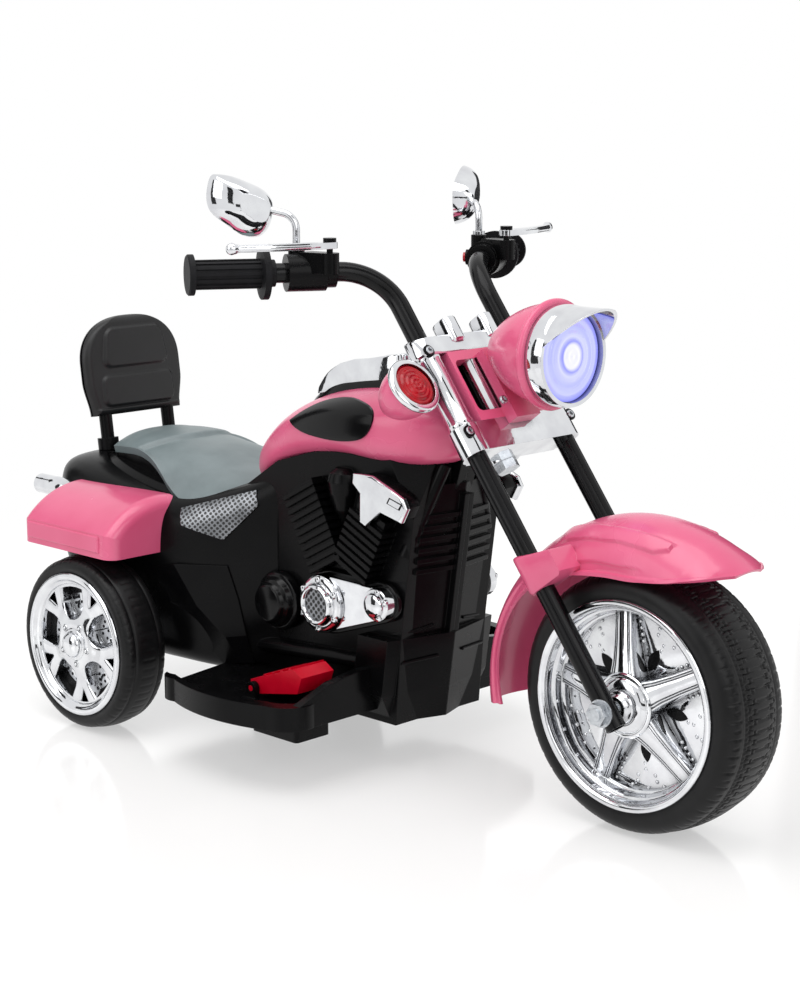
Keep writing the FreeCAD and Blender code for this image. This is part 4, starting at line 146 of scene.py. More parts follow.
looks = {
    # blow-moulded ABS in pink: high gloss, faint flow blotches and a slight orange peel
    "pinkMouldedAbs": {
        "dark": "#d7567d", "light": "#de6288", "blotchMm": 60, "rough": (0.2, 0.32),
        "grainMm": 1.4, "bump": 0.05,
        "sockets": {"IOR": 1.54, "Coat Weight": 0.15, "Coat Roughness": 0.12}},
    # black polypropylene, spark-eroded mould: satin, with a fine pebble grain
    "blackMouldedPolypropylene": {
        "dark": "#050506", "light": "#0a0a0b", "blotchMm": 35, "rough": (0.2, 0.32),
        "grainMm": 0.9, "bump": 0.1,
        "edgeMm": 1.4, "sockets": {"Specular IOR Level": 0.11}},
    # black polyethylene blow-moulded backrest: a broad satin sheen on its raised panels
    "blackSatinPolyethylene": {
        "dark": "#0b0b0c", "light": "#121214", "blotchMm": 30, "rough": (0.36, 0.46),
        "grainMm": 1.0, "bump": 0.1,
        "sockets": {"Specular IOR Level": 0.42}},
    # black ABS from a polished mould: deep and glossy
    "blackPolishedAbs": {
        "dark": "#060607", "light": "#0b0b0c", "blotchMm": 40, "rough": (0.14, 0.22),
        "grainMm": 1.6, "bump": 0.05,
        "sockets": {"Specular IOR Level": 0.2}},
    # vacuum-plated chrome on ABS: mirror bright with a soft waviness from the moulding under it, and painted
    # shade darkening its corners
    "chromePlatedAbs": {
        "dark": "#d2d3d7", "light": "#e6e8ea", "blotchMm": 25, "rough": (0.03, 0.08),
        "grainMm": 9.0, "bump": 0.05,
        "creviceShade": {"reachMm": 14, "dark": "#4a4b4e"}, "sockets": {"Metallic": 1.0}},
    # black baked enamel on steel tube: smooth, half gloss
    "blackEnamelledSteel": {
        "dark": "#09090a", "light": "#0f0f11", "blotchMm": 30, "rough": (0.16, 0.26),
        "grainMm": 1.1, "bump": 0.06,
        "sockets": {"Specular IOR Level": 0.2}},
    # aluminium vapour plating on the reflector bowl: bright and slightly blue
    "vapourPlatedAbs": {
        "dark": "#cfd3e6", "light": "#e4e7f5", "blotchMm": 12, "rough": (0.06, 0.14),
        "grainMm": 3.0, "bump": 0.05,
        "sockets": {"Metallic": 1.0}},
    # blow-moulded black polyethylene tyre: waxy, half matt, scuffed a little lighter, with painted shade in
    # its grooves
    "blackBlowMouldedTyre": {
        "dark": "#0b0b0c", "light": "#141415", "blotchMm": 18, "rough": (0.32, 0.44),
        "grainMm": 0.8, "bump": 0.14,
        "creviceShade": {"reachMm": 3, "dark": "#020203"}, "sockets": {"Specular IOR Level": 0.22}},
    # grey moulded polyethylene seat: satin with a leather-like fine grain
    "greyMouldedSeat": {
        "dark": "#6a7678", "light": "#788486", "blotchMm": 28, "rough": (0.34, 0.46),
        "grainMm": 1.2, "bump": 0.1,
        "sockets": {"IOR": 1.5}},
    # red moulded polypropylene pedal: saturated, satin
    "redMouldedPolypropylene": {
        "dark": "#bd001f", "light": "#cc0427", "blotchMm": 20, "rough": (0.26, 0.36),
        "grainMm": 1.0, "bump": 0.08,
        "sockets": {"Specular IOR Level": 0.22}},
    # transparent red acrylic lens over a bright bowl: deep red with a wet gloss
    "redAcrylicLens": {
        "dark": "#8e0714", "light": "#b90d1e", "blotchMm": 10, "rough": (0.05, 0.1),
        "grainMm": 2.0, "bump": 0.04,
        "sockets": {"Specular IOR Level": 0.35}},
    # clear polycarbonate lamp glass: almost colourless, a little violet
    "clearPolycarbonate": {
        "dark": "#e6e6ff", "light": "#fafaff", "blotchMm": 14, "rough": (0.02, 0.05),
        "grainMm": 3.0, "bump": 0.04,
        "sockets": {"IOR": 1.58, "Transmission Weight": 0.9}},
    # plastic mirror film on the glass side: bright, not quite flat
    "mirrorFilm": {
        "dark": "#d6dade", "light": "#e6eaec", "blotchMm": 30, "rough": (0.02, 0.05),
        "grainMm": 20.0, "bump": 0.03,
        "sockets": {"Metallic": 1.0}},
    # zinc-plated steel bolts and axles: grey, slightly streaked
    "zincPlatedSteel": {
        "dark": "#a9adb2", "light": "#ced2d6", "blotchMm": 5, "rough": (0.2, 0.38),
        "grainMm": 0.8, "bump": 0.1,
        "sockets": {"Metallic": 1.0}},
    # soft black thermoplastic rubber grips: matt with a fine grain
    "blackGripRubber": {
        "dark": "#0d0d0f", "light": "#151518", "blotchMm": 9, "rough": (0.46, 0.6),
        "grainMm": 0.7, "bump": 0.16,
        "sockets": {"Specular IOR Level": 0.16}},
    # red button caps: glossy moulded ABS
    "redButtonAbs": {
        "dark": "#b0121f", "light": "#c61a29", "blotchMm": 6, "rough": (0.2, 0.3),
        "grainMm": 0.8, "bump": 0.06,
        "sockets": {"IOR": 1.54}},
    # lit lamp glass: white in the middle, violet blue to the rim; the first two stops are the ends
    "litPolycarbonate": {
        "dark": "#4648a4", "light": "#5052b2", "blotchMm": 14, "rough": (0.03, 0.07),
        "grainMm": 3.0, "bump": 0.04,
        "sockets": {"IOR": 1.58, "Emission Strength": 0.82},
        "glow": {"middle": (0.232, 0, 0.433), "reachMm": 43,
                 "stops": ((0.0, "#ffffff"), (1.0, "#7f84ee"), (0.26, "#ffffff"), (0.34, "#9298f2"),
                           (0.44, "#dfe2ff"), (0.64, "#c0c5fb"), (0.84, "#d2d6ff"))}},
    # chrome-plated grille pressed full of small round holes, painted dark as the shade inside them
    "perforatedChromeAbs": {
        "dark": "#66686b", "light": "#909296", "blotchMm": 25, "rough": (0.16, 0.26),
        "grainMm": 3.0, "bump": 0.05,
        "holes": {"pitchMm": 4.2, "radiusShare": 0.36, "dark": "#0e0e10"}},
    # steel mesh in the clutch cover: holes painted black as the shade behind them, in thin grey webs
    "perforatedSteelMesh": {
        "dark": "#85878b", "light": "#a5a7ac", "blotchMm": 6, "rough": (0.3, 0.42),
        "grainMm": 0.8, "bump": 0.06,
        "holes": {"pitchMm": 5.2, "radiusShare": 0.4, "dark": "#050506"}},
    # plain grey ABS of the pieces inside the body: dull, straight from the mould
    "greyInnerAbs": {
        "dark": "#4a4d50", "light": "#5a5d61", "blotchMm": 22, "rough": (0.42, 0.54),
        "grainMm": 0.9, "bump": 0.1,
        "sockets": {"IOR": 1.54}},
}
mats = {name: finishOf(name, look) for name, look in looks.items()}

slotFinish = {
    "pink_plastic": "pinkMouldedAbs", "black_plastic": "blackMouldedPolypropylene",
    "black_gloss_plastic": "blackPolishedAbs", "chrome_trim": "chromePlatedAbs",
    "black_tube": "blackEnamelledSteel", "reflector_plating": "vapourPlatedAbs",
    "tyre_black": "blackBlowMouldedTyre", "seat_grey": "greyMouldedSeat",
    "pedal_red": "redMouldedPolypropylene", "lens_red": "redAcrylicLens", "lens_clear": "clearPolycarbonate",
    "mirror_face": "mirrorFilm", "zinc_steel": "zincPlatedSteel", "grip_rubber": "blackGripRubber",
    "button_red": "redButtonAbs", "inner_plastic": "greyInnerAbs",
}
for node in nodes.values():
    for k, packed in enumerate(node.data.materials):
        node.data.materials[k] = mats[slotFinish[packed.name.split(".")[0]]]
nodes["seat_trims"].data.materials[0] = mats["perforatedChromeAbs"]
print("finishes on the solids:", len(mats))


def gridQuads(rows, cols, wrapRows=False, wrapCols=False):
    # Corner numbers of the quads between a rows x cols grid of points, joined end to end where it wraps
    i, j = np.meshgrid(np.arange(rows - (not wrapRows)), np.arange(cols - (not wrapCols)), indexing="ij")
    down, right = (i + 1) % rows, (j + 1) % cols
    return np.stack([i * cols + j, i * cols + right, down * cols + right, down * cols + j], -1).reshape(-1, 4)


def sheetOf(points, wrapRows=False, wrapCols=False):
    # A grid of points as (points, quads)
    return points.reshape(-1, 3), gridQuads(*points.shape[:2], wrapRows, wrapCols)


def skinOf(outer, inner):
    # Two grids of one size as a closed skin: the side edges join by wrapping, the end rows by strips of quads
    points = np.concatenate([outer, inner[:, ::-1]], 1)
    rows, cols = points.shape[:2]
    j = np.arange(cols // 2 - 1)
    strip = np.stack([j, j + 1, cols - 2 - j, cols - 1 - j], -1)
    quads = np.concatenate([gridQuads(rows, cols, False, True), strip, strip + (rows - 1) * cols])
    return points.reshape(-1, 3), quads


def unit(v):
    return v / np.linalg.norm(v, axis=-1, keepdims=True)


def placed(local, origin, axes):
    # origin + x first + y second + z third
    local = np.asarray(local, float)
    return np.asarray(origin, float) + sum(local[..., k:k + 1] * axes[k] for k in range(3))


def leanedAxes(lean):
    # Ahead, sideways and up, leaned back about the sideways axis
    c, s = math.cos(lean), math.sin(lean)
    return np.array([c, 0, s]), yAxis, np.array([-s, 0, c])


def fullTurn(steps):
    # Angles once round, the last one a step short of the first
    return np.linspace(0, 2 * np.pi, steps, endpoint=False)


def circleAt(radius, turns):
    # Places of a plane at these turns round its origin
    return radius * np.stack([np.cos(turns), np.sin(turns)], -1)


def ringAt(radius, turns, height):
    # Places at these turns round the third axis, all at one height
    return np.column_stack([circleAt(radius, turns), np.full_like(turns, height)])


def softOval(half, power, steps):
    # Superellipse |x/a|^n + |y/b|^n = 1, where n is 2 / power
    ring = circleAt(1.0, fullTurn(steps))
    return np.sign(ring) * np.abs(ring) ** power * half


def arcThrough(a, b, c, count):
    # Points on the circle through three places of a plane, from the first to the last
    a, b, c = (np.asarray(p, float) for p in (a, b, c))
    rows = 2 * np.array([b - a, c - a])
    centre = np.linalg.solve(rows, np.array([b @ b - a @ a, c @ c - a @ a]))
    turns = np.unwrap([math.atan2(*(p - centre)[::-1]) for p in (a, b, c)])
    return centre + circleAt(np.linalg.norm(a - centre), np.linspace(turns[0], turns[2], count))


def throughPoints(x, pairs):
    # Smooth curve through (place, value) pairs: a cubic between each two, its slopes from the neighbours
    xs, ys = np.array(pairs, float).T
    slopes = np.gradient(ys, xs)
    k = np.clip(np.searchsorted(xs, x) - 1, 0, len(xs) - 2)
    span = xs[k + 1] - xs[k]
    t = np.clip((x - xs[k]) / span, 0, 1)
    return ((1 + 2 * t) * (1 - t) ** 2 * ys[k] + t * (1 - t) ** 2 * span * slopes[k]
            + t * t * (3 - 2 * t) * ys[k + 1] + t * t * (t - 1) * span * slopes[k + 1])


def ease(x, low, high):
    # 0 below low, 1 above high, and a smooth step between
    t = np.clip((x - low) / (high - low), 0, 1)
    return t * t * (3 - 2 * t)


def between(x, riseFrom, riseTo, fallFrom, fallTo):
    # A smooth step up and a smooth step down again
    return ease(x, riseFrom, riseTo) * (1 - ease(x, fallFrom, fallTo))


def acrossShares(cols):
    # From -1 to 1 across a section, closer together by both edges
    return np.sin(np.linspace(-1, 1, cols) * np.pi / 2)[None, :]


def shrunk(outline, share):
    # An outline drawn towards its middle
    return outline.mean(0) + (outline - outline.mean(0)) * share


def turnedForm(profile, steps, origin, axes, ringShaped=False):
    # Each (radius, along) of the profile goes once round the third axis
    profile = np.asarray(profile, float)
    turn = fullTurn(steps)
    radius, along = profile[:, :1], profile[:, 1:]
    local = np.stack([radius * np.cos(turn), radius * np.sin(turn), along + 0 * turn], -1)
    return sheetOf(placed(local, origin, axes), ringShaped, True)


def sweptForm(path, wide, high, hint, steps):
    # An oval carried along a path, wide across it and high towards hint; zero at both ends closes it
    along = unit(np.gradient(path, axis=0))
    across = unit(np.cross(hint, along))
    up = np.cross(along, across)
    turn = fullTurn(steps)
    oval = np.asarray(wide)[:, None, None] * np.cos(turn)[None, :, None] * across[:, None]
    oval = oval + np.asarray(high)[:, None, None] * np.sin(turn)[None, :, None] * up[:, None]
    return sheetOf(path[:, None] + oval, False, True)


prismLook = {"bend": 0.3, "faceRing": 0.97}  # the eased edge's middle row, a ring that keeps the face flat


def prismForm(outline, low, top, soft, origin, axes):
    # A flat outline raised from low to top with both edges eased in by soft, drawn to its middle at both ends
    outline = np.asarray(outline, float)
    middle = outline.mean(0)
    share = 1 - soft / np.linalg.norm(outline - middle, axis=1).mean()
    bend = prismLook["bend"]
    rows = ((0, low), (share, low), (1, low + soft), (1, top - soft),
            (bend * share + 1 - bend, top - bend * soft), (share, top),
            (prismLook["faceRing"] * share, top), (0, top))
    flat = np.stack([middle + (outline - middle) * scale for scale, height in rows])
    height = np.stack([height + 0 * outline[:, 0] for scale, height in rows])
    return sheetOf(placed(np.concatenate([flat, height[..., None]], -1), origin, axes), False, True)


domeLook = {"steps": 8, "rows": 4, "sink": 0.4}


def domes(centres, radius, height):
    # Small rivets: each is a cap, radius cos(a) out and height sin(a) up, with its foot sunk a little
    a = np.linspace(0, np.pi / 2, domeLook["rows"])
    cap = np.stack([radius * np.cos(a), height * np.sin(a)], -1)
    profile = np.concatenate([[(0, -domeLook["sink"]), (radius, -domeLook["sink"])], cap])
    return [turnedForm(profile, domeLook["steps"], centre, upAxes) for centre in centres]


def addObject(name, data):
    # An object with this data in the scene
    made = bpy.data.objects.new(name, data)
    scene.collection.objects.link(made)
    return made


pieceLook = {"mergeMm": 0.01, "sharp": 38}


def makePiece(name, sheets, body, slotName, replaced=None, finish=None, sharp=pieceLook["sharp"]):
    # Joins sheets of points in millimetres into one closed mesh in metres, turned outwards, and sets it on
    # its body; it takes the slot's own finish unless another is named
    pointSets, quadSets = zip(*sheets)
    starts = np.cumsum([0] + [len(points) for points in pointSets])
    mesh = bpy.data.meshes.new(name)
    mesh.from_pydata((np.concatenate(pointSets) / mmPerMetre).tolist(), [],
                     np.concatenate([quads + start for quads, start in zip(quadSets, starts)]).tolist())
    bm = bmesh.new()
    bm.from_mesh(mesh)
    bmesh.ops.remove_doubles(bm, verts=bm.verts, dist=pieceLook["mergeMm"] / mmPerMetre)
    bmesh.ops.recalc_face_normals(bm, faces=bm.faces)
    bm.to_mesh(mesh)
    bm.free()
    mesh.shade_smooth()
    mesh.set_sharp_from_angle(angle=math.radians(sharp))
    mesh.materials.append(mats[finish or slotFinish[slotName]])
    piece = addObject(name, mesh)
    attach(piece, body)
    if replaced:
        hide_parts(replaced)


# Shared places: x ahead, y to the left, z up; the fork's frame stands on the front axle and leans back
sides = {"right": -1, "left": 1}
origin = np.zeros(3)
xAxis, yAxis, zAxis = np.eye(3)
upAxes = (xAxis, yAxis, zAxis)
aheadAxes = (yAxis, zAxis, xAxis)
behindAxes = (yAxis, zAxis, -xAxis)
sideAxes = {sign: (xAxis, zAxis, sign * yAxis) for sign in sides.values()}
forkAxes = leanedAxes(math.radians(37.0))
forkAheadAxes = (forkAxes[1], forkAxes[2], forkAxes[0])
forkHalf = 64.0
frontWheelAt = (332.0, 0.0, 125.0)
rearWheelAt = {sideName: (-294.0, sign * 165.0, 94.4) for sideName, sign in sides.items()}


def onFork(ahead, aside, up):
    # A place in the fork's frame
    return placed([ahead, aside, up], frontWheelAt, forkAxes)


# Lines run in millimetres from the middle of the tread; long and short say where a sipe rises and falls
tyreLooks = {
    "front": {"side": 43.0, "rim": 100.0, "shoulder": (38.5, 118.0), "crown": (27.0, 122.0, 125.0),
              "seat": 92.0, "steps": 785, "wall": 25, "tread": 44,
              "edgeLine": {"at": 24.0, "width": 0.9, "deep": 0.9},
              "chain": {"at": 15.5, "swing": 3.2, "square": 5, "count": 84, "width": 0.9, "deep": 1.3},
              "blocks": {"count": 168, "shift": 0.25, "ends": (18.5, 19.5, 22.0, 23.0), "width": 0.9,
                         "deep": 0.8},
              "crownSipes": {"count": 84, "ends": (8.5, 10.0), "width": 0.9, "deep": 0.9},
              "sideSipes": {"count": 46, "width": 1.2, "deep": 1.3,
                            "long": (28.0, 30.0, 36.0, 45.0), "short": (30.0, 32.0, 32.0, 40.0)}},
    "rear": {"side": 26.0, "rim": 78.0, "shoulder": (24.0, 89.95), "crown": (17.0, 91.9, 94.4), "seat": 70.0,
             "steps": 420, "wall": 16, "tread": 26,
             "edgeLine": {"at": 15.5, "width": 0.9, "deep": 0.9},
             "crownSipes": {"count": 60, "ends": (7.5, 9.0), "width": 1.0, "deep": 0.5},
             "sideSipes": {"count": 40, "width": 1.3, "deep": 0.9,
                           "long": (18.0, 20.0, 22.0, 31.0), "short": (20.0, 22.0, 18.0, 26.0)}},
}
sipeWear = {"mean": 0.65, "swing": 0.35, "waves": 3, "phase": 0.6}


def groove(distance, line):
    # Depth at a distance from a groove's middle: deep exp(-(distance / width)^4)
    return line["deep"] * np.exp(-(distance / line["width"]) ** 4)


def tyreSurface(look, centre):
    # The section is two side arcs and a crown arc. Pressed in along its normal are a line by each edge of the
    # tread, a chain that swings as tanh(k cos(n t)), and rows of sipes; the deepest counts at each point
    shoulderWide, shoulderHigh = look["shoulder"]
    crownWide, crownHigh, top = look["crown"]
    rise = arcThrough((-look["side"], look["rim"]), (-shoulderWide, shoulderHigh), (-crownWide, crownHigh),
                      look["wall"])
    crown = arcThrough((-crownWide, crownHigh), (0, top), (crownWide, crownHigh), look["tread"])
    section = np.concatenate([rise[:-1], crown, (rise * [-1, 1])[::-1][1:]])
    tangent = unit(np.gradient(section, axis=0))
    normal = np.stack([-tangent[:, 1], tangent[:, 0]], -1)
    across = np.append(0, np.cumsum(np.linalg.norm(np.diff(section, axis=0), axis=1)))
    s = np.abs(across - across[-1] / 2)[None, :]
    t = fullTurn(look["steps"])[:, None]

    def sipes(row, shift=0.0):
        # Grooves across the tread at even steps round the wheel
        away = (t * row["count"] / (2 * np.pi) + shift) % 1 - 0.5
        return groove(away * 2 * np.pi * top / row["count"], row)

    depths = [groove(s - look["edgeLine"]["at"], look["edgeLine"]) + 0 * t]
    if "chain" in look:
        chain, blocks = look["chain"], look["blocks"]
        swing, square, n = chain["swing"], chain["square"], chain["count"]
        wave = np.tanh(square * np.cos(n * t))
        slope = swing * square * (1 - wave ** 2) * np.sin(n * t) * n / top
        depths.append(groove((s - chain["at"] - swing * wave) / np.sqrt(1 + slope ** 2), chain))
        depths.append(sipes(blocks, blocks["shift"]) * between(s, *blocks["ends"]))
    depths.append(sipes(look["crownSipes"]) * (1 - ease(s, *look["crownSipes"]["ends"])))
    row = look["sideSipes"]
    worn = sipeWear["mean"] + sipeWear["swing"] * np.cos(sipeWear["waves"] * t + sipeWear["phase"])
    depths.append(worn * sipes(row) * between(s, *row["long"]))
    depths.append(worn * sipes(row, 0.5) * between(s, *row["short"]))
    depth = np.maximum.reduce(depths)
    wide = section[:, 0] - depth * normal[:, 0]
    radius = section[:, 1] - depth * normal[:, 1]
    outside = np.stack([radius * np.cos(t), wide, radius * np.sin(t)], -1)
    bead = np.array([look["side"], -look["side"]]) + 0 * t
    seat = look["seat"] + 0 * bead
    inside = np.stack([seat * np.cos(t), bead, seat * np.sin(t)], -1)
    return sheetOf(np.concatenate([outside, inside], 1) + np.asarray(centre), True, True)


makePiece("frontTyreTread", [tyreSurface(tyreLooks["front"], frontWheelAt)], "front_wheel", "tyre_black",
          "front_tyre", sharp=50)
for sideName, centre in rearWheelAt.items():
    makePiece("rearTyreTread" + sideName.title(), [tyreSurface(tyreLooks["rear"], centre)],
              "rear_wheel_" + sideName, "tyre_black", "rear_tyre_" + sideName, sharp=50)
print("tyres with their tread")


def wheelFace(radius, turns, heights, backHeight, count):
    # A round face from half sectors: turns and heights run from a spoke's middle to the gap's middle at each
    # radius, then mirrored and repeated round the wheel; two flat rows at the back close it into one ring
    sector = 2 * np.pi / count
    turns = np.concatenate([turns, (sector - turns)[:, ::-1][:, 1:-1]], 1)
    turns = np.concatenate([turns + k * sector for k in range(count)], 1)
    heights = np.tile(np.concatenate([heights, heights[:, ::-1][:, 1:-1]], 1), count)
    turns = np.concatenate([turns, turns[-1:], turns[:1]])
    heights = np.concatenate([heights, np.full_like(heights[:2], backHeight)])
    radius = np.append(radius, [radius[-1], radius[0]])[:, None]
    return sheetOf(np.stack([radius * np.cos(turns), radius * np.sin(turns), heights], -1), True, True)


def onWheel(sheets, centre, sign, clock):
    # Sheets made with the wheel's outward side along +z, set on the axle end of that side and turned by clock
    first, across, second = leanedAxes(clock)
    return [(placed(points, centre, (first, second, sign * across)), quads) for points, quads in sheets]


def eachGap(turns, count):
    # Turns about a gap's middle, repeated in every gap between the spokes
    return (turns + (2 * np.arange(count)[:, None] + 1) * np.pi / count).ravel()


frontCapLook = {
    "spokes": 5, "hub": 26.0, "rim": 88.0, "rows": 34, "steps": 96, "clock": math.radians(100.0),
    "top": (40.0, 25.0), "fall": 0.8, "floor": 18.5, "swell": 1.2, "back": 14.0, "wallRun": 1.2,
    "halfWidth": ((26, 15.5), (40, 12.2), (60, 10.4), (88, 9.6)),
    "ribs": ((0, 1.6), (0.3, 1.4), (0.5, 0.9), (0.57, -0.5), (0.63, 0.9), (0.7, 0.9), (0.77, -0.5),
             (0.84, 0.9), (0.93, 0.7), (1.0, -0.4)),  # share of the half width, rise
    "plate": ((0, 0), (0.15, 0.4), (0.5, 1), (0.85, 1), (1.0, 1)),  # share of the half gap, of the swell
    "dish": ((80, 12), (84, 12), (91.7, 20), (91.7, 43.3), (100, 43.3), (99.7, 44.8), (98.6, 46.1),
             (96.8, 46.5), (94.6, 46.2), (93.2, 45.2), (92.3, 43.4), (91.0, 40.5), (90.4, 36.2),
             (89.2, 34.6), (87.4, 33.6), (86.6, 31.6), (86.0, 27.4), (84.8, 25.8), (83.2, 24.8),
             (82.4, 22.6), (81.6, 17.6)),
    "boss": ((17.3, 14), (27, 14), (27, 36), (29.4, 37), (30.6, 38.6), (30.8, 40.4), (29.6, 41.8),
             (28.0, 42.0), (27.2, 41.2), (26.2, 41.4), (24.6, 43.4), (21.6, 45.0), (18.2, 45.8),
             (17.4, 45.2), (16.6, 45.4), (16.2, 47.4), (15.2, 48.8), (13.2, 49.6), (12.2, 50.6),
             (11.4, 52.2), (10.4, 53.2), (9.6, 53.2), (9.6, 39), (17.3, 39)),
    "rivets": {"count": 20, "ring": 87.6, "height": 31.0, "size": (1.8, 2.6)},
    "bumps": {"rings": ((58.0, 3), (64.0, 3), (70.0, 4), (76.0, 4), (81.5, 5)), "clear": 4.0, "lift": 0.6,
              "size": (1.9, 1.5)}}


def frontCapSheets(look):
    # Star of spokes with two raised lines by each edge, falling from the hub to the rim over a pressed plate,
    # with a stepped dish round it, a stepped boss in its middle, and rivets on the dish and the plate
    r = np.linspace(look["hub"], look["rim"], look["rows"])
    widths = tuple(zip(*look["halfWidth"]))
    edge = np.arcsin(np.interp(r, *widths) / r)[:, None]
    ribShare, ribRise = np.array(look["ribs"]).T
    plateShare, plateRise = np.array(look["plate"]).T
    drop = ((r - look["hub"]) / (look["rim"] - look["hub"]))[:, None] ** look["fall"]
    hubTop, rimTop = look["top"]
    gap = np.pi / look["spokes"]
    wall = np.minimum(edge + look["wallRun"] / r[:, None], gap)
    turns = np.concatenate([edge * ribShare, wall + (gap - wall) * plateShare], 1)
    heights = np.concatenate([hubTop + (rimTop - hubTop) * drop + ribRise,
                              look["floor"] + look["swell"] * np.sin(np.pi * drop) * plateRise], 1)
    sheets = [wheelFace(r, turns, heights, look["back"], look["spokes"])]
    sheets += [turnedForm(look[key], look["steps"], origin, upAxes, True) for key in ("dish", "boss")]
    rivets, bumps = look["rivets"], look["bumps"]
    sheets += domes(ringAt(rivets["ring"], fullTurn(rivets["count"]), rivets["height"]), *rivets["size"])
    for radius, count in bumps["rings"]:
        free = gap - np.arcsin(np.interp(radius, *widths) / radius) - bumps["clear"] / radius
        t = eachGap(np.linspace(-free, free, count), look["spokes"])
        sheets += domes(ringAt(radius, t, look["floor"] + bumps["lift"]), *bumps["size"])
    return sheets


leafLook = {"span": (33.0, 57.0), "half": 5.6, "power": 0.8, "aside": 3.0, "heights": (19.2, 20.2),
            "rows": 15}


def leafPlates(look, count):
    # Flat dark leaf, half sin(pi u)^p wide at share u of its length, in each gap between the spokes: painted
    # shade where the cap is open
    u = np.linspace(0, 1, look["rows"])[:, None]
    low, high = look["span"]
    bottom, top = look["heights"]
    along = low + (high - low) * u + np.zeros(4)
    wide = look["half"] * np.sin(np.pi * u) ** look["power"] * np.array([-1, 1, 1, -1]) + look["aside"]
    local = np.stack([along, wide, np.array([top, top, bottom, bottom]) + 0 * u], -1)
    sheets = []
    for turn in eachGap(np.zeros(1), count):
        c, s = math.cos(turn), math.sin(turn)
        axes = (np.array([c, s, 0]), np.array([-s, c, 0]), zAxis)
        sheets.append(sheetOf(placed(local, origin, axes), False, True))
    return sheets


def bothCaps(sheets):
    # The same sheets on both ends of the front axle
    clock = frontCapLook["clock"]
    return [one for sign in sides.values() for one in onWheel(sheets, frontWheelAt, sign, clock)]


makePiece("frontWheelCaps", bothCaps(frontCapSheets(frontCapLook)), "front_wheel", "chrome_trim",
          "front_hubcaps", sharp=32)
# The black leaves are painted shade in the cap's openings
makePiece("frontCapVoidShade", bothCaps(leafPlates(leafLook, frontCapLook["spokes"])), "front_wheel",
          "black_plastic")

rearCapLook = {
    "spokes": 5, "hub": 17.0, "rim": 67.0, "back": 8.0, "steps": 80, "clock": math.radians(62.0),
    "top": (27.0, 23.0), "topFall": (20.0, 44.0), "hubRows": (26.8, 6), "straightRows": (38.5, 14),
    "window": {"half": 17.0, "inner": 27.0, "bend": 24.0, "outer": 62.5, "floor": 10.5,
               "bendRows": (0, 0.15, 0.6, 1.4, 2.6, 4.2, 6.2, 8.6)},
    "fork": {"half": 6.0, "apex": 49.0, "outer": 63.5, "floor": 13.0},
    "armEdges": ((0, 1.8), (0.06, 0.7), (0.16, 0.15), (0.35, 0), (0.65, 0), (0.84, 0.15), (0.94, 0.7),
                 (1.0, 1.8)),
    "floorShares": (0, 0.4, 1.0),
    "ring": ((64, 8), (69.7, 8), (69.7, 26.3), (78, 26.3), (77.8, 27.6), (76.8, 29.2), (75.2, 30.0),
             (73.2, 30.0), (71.4, 29.4), (70.2, 28.2), (69.2, 26.4), (67.6, 25.4), (66.2, 24.8),
             (65.2, 23.2), (64, 20.0)),
    "boss": ((0, 36.6), (5, 36.3), (9.4, 35.2), (12.2, 33.4), (13.4, 31.2), (13.6, 29.4), (14.6, 28.4),
             (16.6, 28.2), (17.6, 27.4), (18, 24), (18, 9), (11.8, 9), (11.8, 33), (0, 33)),
    "bolts": {"count": 5, "ring": 21.5, "height": 26.4, "steps": 16,
              "profile": ((0, -2), (4.0, -2), (4.0, 0.4), (3.4, 1.4), (2.9, 1.5), (2.7, 0.8), (2.2, 0.7),
                          (1.9, 1.9), (1.2, 2.5), (0, 2.6))},
    "holes": {"rings": ((33.0, (0,)), (38.5, (-10, 10)), (43.5, (-14, 0, 14)), (49.0, (-15, -5, 5, 15))),
              "profile": ((0, -0.5), (1.7, -0.5), (1.7, 0.25), (0, 0.25)), "steps": 10},
    "discEdge": {"profile": ((53.5, -0.5), (63.4, -0.5), (63.4, 0.5), (53.5, 0.5)), "steps": 90}}


